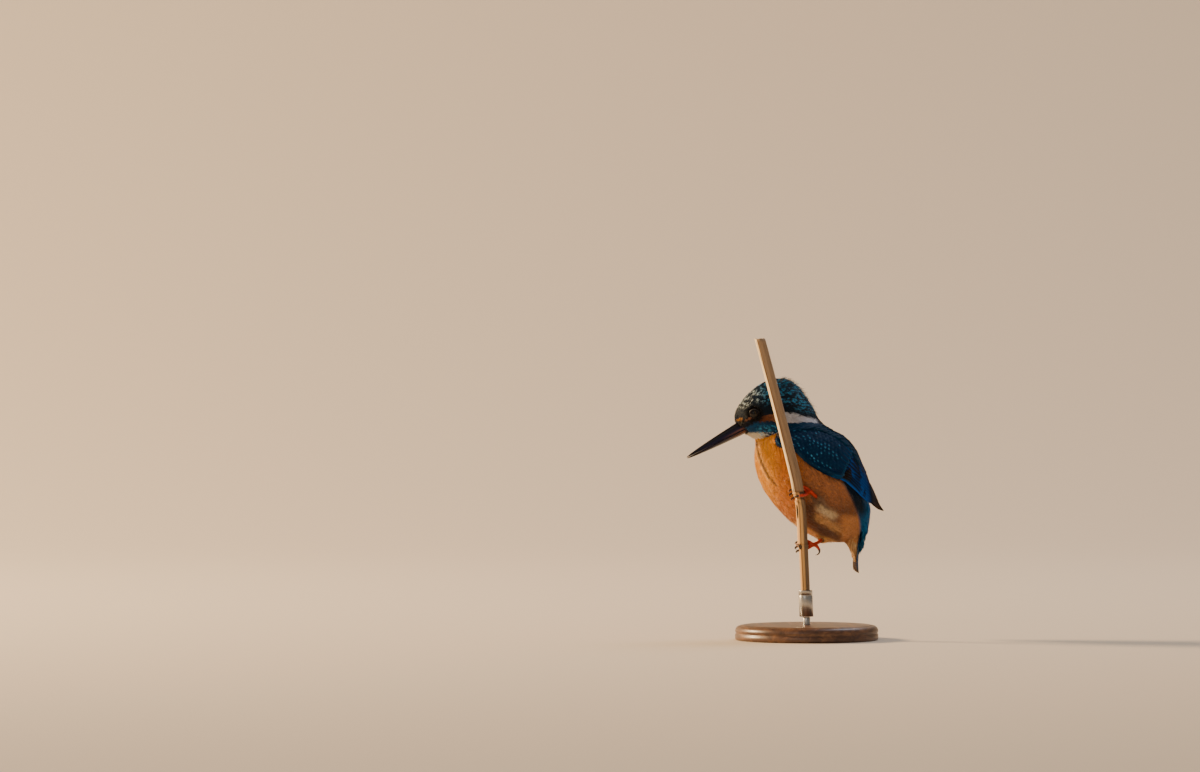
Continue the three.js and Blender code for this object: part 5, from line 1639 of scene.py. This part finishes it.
for side_name, mirrored in (("left", False), ("right", True)):
    seed = 70 + mirrored
    rng = np.random.default_rng(seed)
    # Small and median coverts, in staggered rows along the wing.
    start, end, half, spot_share = [], [], [], []
    rows = np.arange(0.035, 0.8, 0.052)
    for j, w in enumerate(rows):
        spacing = 2.7 / SPAN
        for s in np.arange(0.0 + 0.5 * spacing * (j % 2), 0.52 - 0.1 * w, spacing):
            size = 0.75 + 0.5 * s / 0.5
            tip_s = s + 7.0 * size / SPAN + rng.normal(0, 0.004)
            start.append((s, w + 0.012))
            end.append((tip_s, w - 0.01 + rng.normal(0, 0.006)))
            half.append(1.75 * size)
            strong = max(math.exp(-((w - 0.165) / 0.03) ** 2), math.exp(-((w - 0.43) / 0.03) ** 2))
            spot_share.append(min(1, 0.05 + strong + 0.5 * (rng.random() > 0.85)) * rng.uniform(0.75, 1.0))
    start, end, half, spot_share = map(np.array, (start, end, half, spot_share))
    high = np.stack([np.full(len(half), -0.85), -0.4 + rng.uniform(-0.05, 0.05, len(half))], -1)

    def covert_tint(far, across, owner, rng):
        tint = blend("062a4c", "0f4676", 0.4 * step(0.6, 1.0, np.abs(across)) * step(0.3, 0.7, far))
        spot = step(0.84, 0.88, far) * step(1.0, 0.96, far) * step(0.48, 0.08, np.abs(across))
        tint = blend(tint, "58b4ea", spot * spot_share[owner])
        tint = tint * (0.88 + 0.24 * rng.random(len(half)))[owner][:, None]
        # Darker toward the root: partly greyer bases, partly painted shade under the next row.
        return tint * (0.7 + 0.3 * step(0.2, 0.6, far))[:, None]

    coverts = tract(start, end, half, high, COVERT_SHAPE, covert_tint, seed + 2)

    # Greater coverts: one row of longer feathers over the roots of the secondaries.
    k = np.arange(9)
    start = np.stack([0.40 - 0.006 * k, 0.13 + 0.075 * k], -1)
    end = np.stack([0.60 - 0.007 * k, 0.055 + 0.082 * k], -1)
    half = np.full(9, 2.7)
    high = np.stack([np.full(9, -1.2), -0.15 + 0.02 * k], -1)

    def greater_tint(far, across, owner, rng):
        tint = blend("062a4c", "135a9c", 0.8 * step(0.35, 0.95, across) * step(0.2, 0.6, far))
        spot = step(0.88, 0.95, far) * step(0.6, 0.2, np.abs(across))
        tint = blend(tint, "3a92c8", 0.25 * spot)
        return tint * (0.9 + 0.2 * rng.random(9))[owner][:, None]

    greater = tract(start, end, half, high, COVERT_SHAPE, greater_tint, seed + 3)

    # Scapulars: loose dark greenish feathers from the shoulder over the wing's upper edge.
    start, end, half = [], [], []
    for j, w in enumerate(np.arange(0.76, 1.03, 0.055)):
        for s in np.arange(0.0 + 0.018 * (j % 2), 0.6, 0.036):
            start.append((s, min(w, 1.0)))
            end.append((s + 8.2 / SPAN, min(w, 1.0) - 0.02 + rng.normal(0, 0.006)))
            half.append(2.1 + 0.6 * s)
    start, end, half = map(np.array, (start, end, half))
    high = np.stack([np.full(len(half), -1.1), 0.1 + rng.uniform(-0.15, 0.15, len(half))], -1)

    def scapular_tint(far, across, owner, rng):
        tint = blend("07304c", "0f4668", 0.5 * step(0.5, 1.0, np.abs(across)) * step(0.4, 0.8, far))
        tint = tint * (0.8 + 0.4 * rng.random(len(half)))[owner][:, None]
        # Darker toward the root: partly greyer bases, partly painted shade under the next row.
        return tint * (0.6 + 0.4 * step(0.2, 0.6, far))[:, None]

    scapulars = tract(start, end, half, high, COVERT_SHAPE, scapular_tint, seed + 4)
    arm = gather([coverts, greater, scapulars])
    vane_piece(f"wing_covert_feathers_{side_name}", "plumage_wing", *arm, mirrored)

    # Primaries, lowest in the stack, then secondaries and tertials, each over the one below.
    k = np.arange(7)
    start = np.stack([np.full(7, 0.6), 0.08 + 0.07 * k], -1)
    end = np.stack([np.array([1.0, 0.99, 0.975, 0.957, 0.937, 0.915, 0.9]), 0.3 + 0.09 * k], -1)
    half = np.full(7, 1.7)
    high = np.stack([-1.0 + 0.03 * k, -0.75 + 0.07 * k], -1)

    def primary_tint(far, across, owner, rng):
        tint = blend("211a18", "1a4a72", 0.8 * step(0.4, 0.9, across) * step(0.95, 0.6, far))
        tint = blend(tint, "7a6352", 0.8 * step(0.8, 1.0, np.abs(across)) * step(0.6, 0.9, far))
        return tint * (0.9 + 0.2 * rng.random(7))[owner][:, None]

    primaries = tract(start, end, half, high, FLIGHT_SHAPE, primary_tint, seed + 5, (0.02, 0.045), across=7)
    k = np.arange(12)
    start = np.stack([0.44 - 0.004 * k, 0.10 + 0.075 * k], -1)
    end = np.stack([0.90 - 0.0085 * k - 0.0012 * k**2, 0.05 + 0.078 * k], -1)
    half = 2.2 + 0.06 * k
    high = np.stack([np.full(12, -1.3), -0.42 + 0.07 * k], -1)

    def secondary_tint(far, across, owner, rng):
        tint = blend("09182a", "1456b8", step(0.15, 0.75, across) * (0.95 - 0.05 * owner))
        tint = blend(tint, "0d151d", 0.8 * step(0.9, 1.0, far))
        return tint * (0.9 + 0.2 * rng.random(12))[owner][:, None]

    strip = (0.36, 0.05)
    secondaries = tract(start, end, half, high, FLIGHT_SHAPE, secondary_tint, seed + 6, strip, across=7)
    flight = gather([primaries, secondaries])
    piece = vane_piece(f"wing_flight_feathers_{side_name}", "plumage_wing", *flight, mirrored)
    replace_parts(piece, f"wing_secondaries_{side_name}", f"wing_primaries_{side_name}")

# ---------------------------------------------------------------------------
# Tail. Twelve short stiff feathers in a narrow fan, the middle pair on top, dark blue above
# and brown black below. Azure coverts lie over their roots and rufous ones beneath.

TAIL_LINE = np.array([(37.3, 74.0), (34.9, 66.0), (33.0, 57.0), (32.2, 48.0), (32.3, 42.0), (32.5, 39.4)])


def on_tail(s, w):
    """Point and rearward normal on the tail's middle sheet: s from root to tip, w in mm across."""
    y, z = np.moveaxis(smooth_rows(TAIL_LINE, np.ravel(s)).reshape(*np.shape(s), 2), -1, 0)
    arch = -0.012 * w**2
    normal = np.stack([0.03 * w, np.ones_like(w), 0.12 * np.ones_like(w)], -1)
    return np.stack([MEDIAN + w, y + arch, z], -1), unit(normal)


k = np.array([-5.5, 5.5, -4.5, 4.5, -3.5, 3.5, -2.5, 2.5, -1.5, 1.5, -0.5, 0.5])
rank = np.arange(12) // 2
start = np.stack([np.full(12, 0.06), 0.7 * k], -1)
end = np.stack([1.0 - 0.011 * (5 - rank) - 0.004 * (5 - rank) ** 2, 1.72 * k], -1)
half = np.full(12, 2.2)
high = np.stack([-0.5 + 0.1 * rank, -0.55 + 0.16 * rank], -1)
points, faces, far, across, owner = grow_vanes(on_tail, start, end, half, high, FLIGHT_SHAPE, across=7)
below = np.tile(np.array([False] * 7 + [True] * 3), len(points) // 10)
tint = blend("123a5e", "1c5f93", 0.6 * step(0.2, 0.8, np.abs(across)))
tint = blend(tint, "2c1d12", step(0.72, 0.98, far))
tint = blend(tint, "3a2616", below.astype(float))
tint = blend(tint, "8a6a3e", 0.5 * step(0.9, 1.0, np.abs(across)) * step(0.8, 0.95, far))
bake = np.stack([0.05 + 0.9 * far, 0.02 + 0.08 * (owner + 0.5 + 0.4 * across)], -1)
vane = np.stack([across * half[owner], far * 35, np.zeros(len(far))], -1)
tail = vane_piece("tail_feathers", "plumage_tail", points, faces, tint, bake, vane, False)
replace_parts(tail, "tail")

# Tail coverts grow like the body's feathers, longer and closer.
UPPERTAIL_STATIONS = np.array([
    (41.2, 80.0, 36.0, 80.0, 11.5, 0), (40.2, 74.6, 35.4, 75.0, 11.0, 0), (38.2, 66.8, 33.6, 67.4, 10.0, 0),
    (36.0, 61.0, 32.6, 61.4, 8.6, 0), (34.8, 55.4, 32.4, 55.6, 6.4, 0), (33.9, 50.4, 32.9, 50.5, 3.0, 0),
])
UNDERTAIL_STATIONS = np.array([
    (34.5, 70.0, 19.0, 60.0, 8.5, 0), (33.0, 62.0, 25.0, 58.4, 9.4, 0), (32.2, 56.5, 26.8, 55.2, 9.0, 0),
    (31.6, 51.0, 28.9, 50.5, 7.4, 0), (31.7, 45.6, 30.9, 45.4, 4.2, 0),
])
for name, slot, stations, rows, material, dark, pale in (
    ("rump_feathers", "plumage_azure", UPPERTAIL_STATIONS, 25, blue_barbs, "0c4a86", "35a0d8"),
    ("undertail_feathers", "plumage_rufous", UNDERTAIL_STATIONS, 20, rufous_barbs, "ca9054", "fbdaa0"),
):
    beneath = slot == "plumage_rufous"
    root, t, angle = staggered(stations, body_to_world, rows, 0.98, 13)
    spot, _, gap = nearest(skin_tree, root)
    keep = (gap < 2.0) & (root[:, 1] + 12 * beneath > 33.0) & (root[:, 2] < 78.6)
    root, t, angle = root[keep], t[keep], angle[keep]
    n = len(root)
    rng = np.random.default_rng(43)
    half = rng.uniform(1.05, 1.3, n)
    lean = 0.1 * (root[:, :1] - MEDIAN) / 8
    way = np.concatenate([-lean, np.full((n, 1), -0.08), np.full((n, 1), -1.0)], 1)
    length = np.clip(root[:, 2] - np.where(beneath, 42.5, 46.0), 1.5, 8.0)
    feathers = lay_feathers(root, way, length, np.full(n, 0.3), 23)
    points, faces, far, across, owner = grow_tufts(*feathers, half, np.full(n, 0.34), 33,
                                                   rings=(0.0, 0.5, 0.8), uneven=0.3)
    strand = np.repeat(rng.random(n * 5), len(points) // (n * 5))
    tint = blend(dark, pale, step(0.1, 1.0, 0.5 * strand + 0.5 * rng.random(n)[owner]))
    if beneath:
        tint = blend(tint, "7a4a22", step(50, 44, points[:, 2]) * 0.6)
    # Darker toward the root: partly greyer bases, partly painted shade under the next row.
    tint = tint * (0.7 + 0.3 * step(0.1, 0.7, far))[:, None]
    bake = bake_place(t, angle, owner, across, far)
    build_piece(name, points, faces, tint, bake, material)
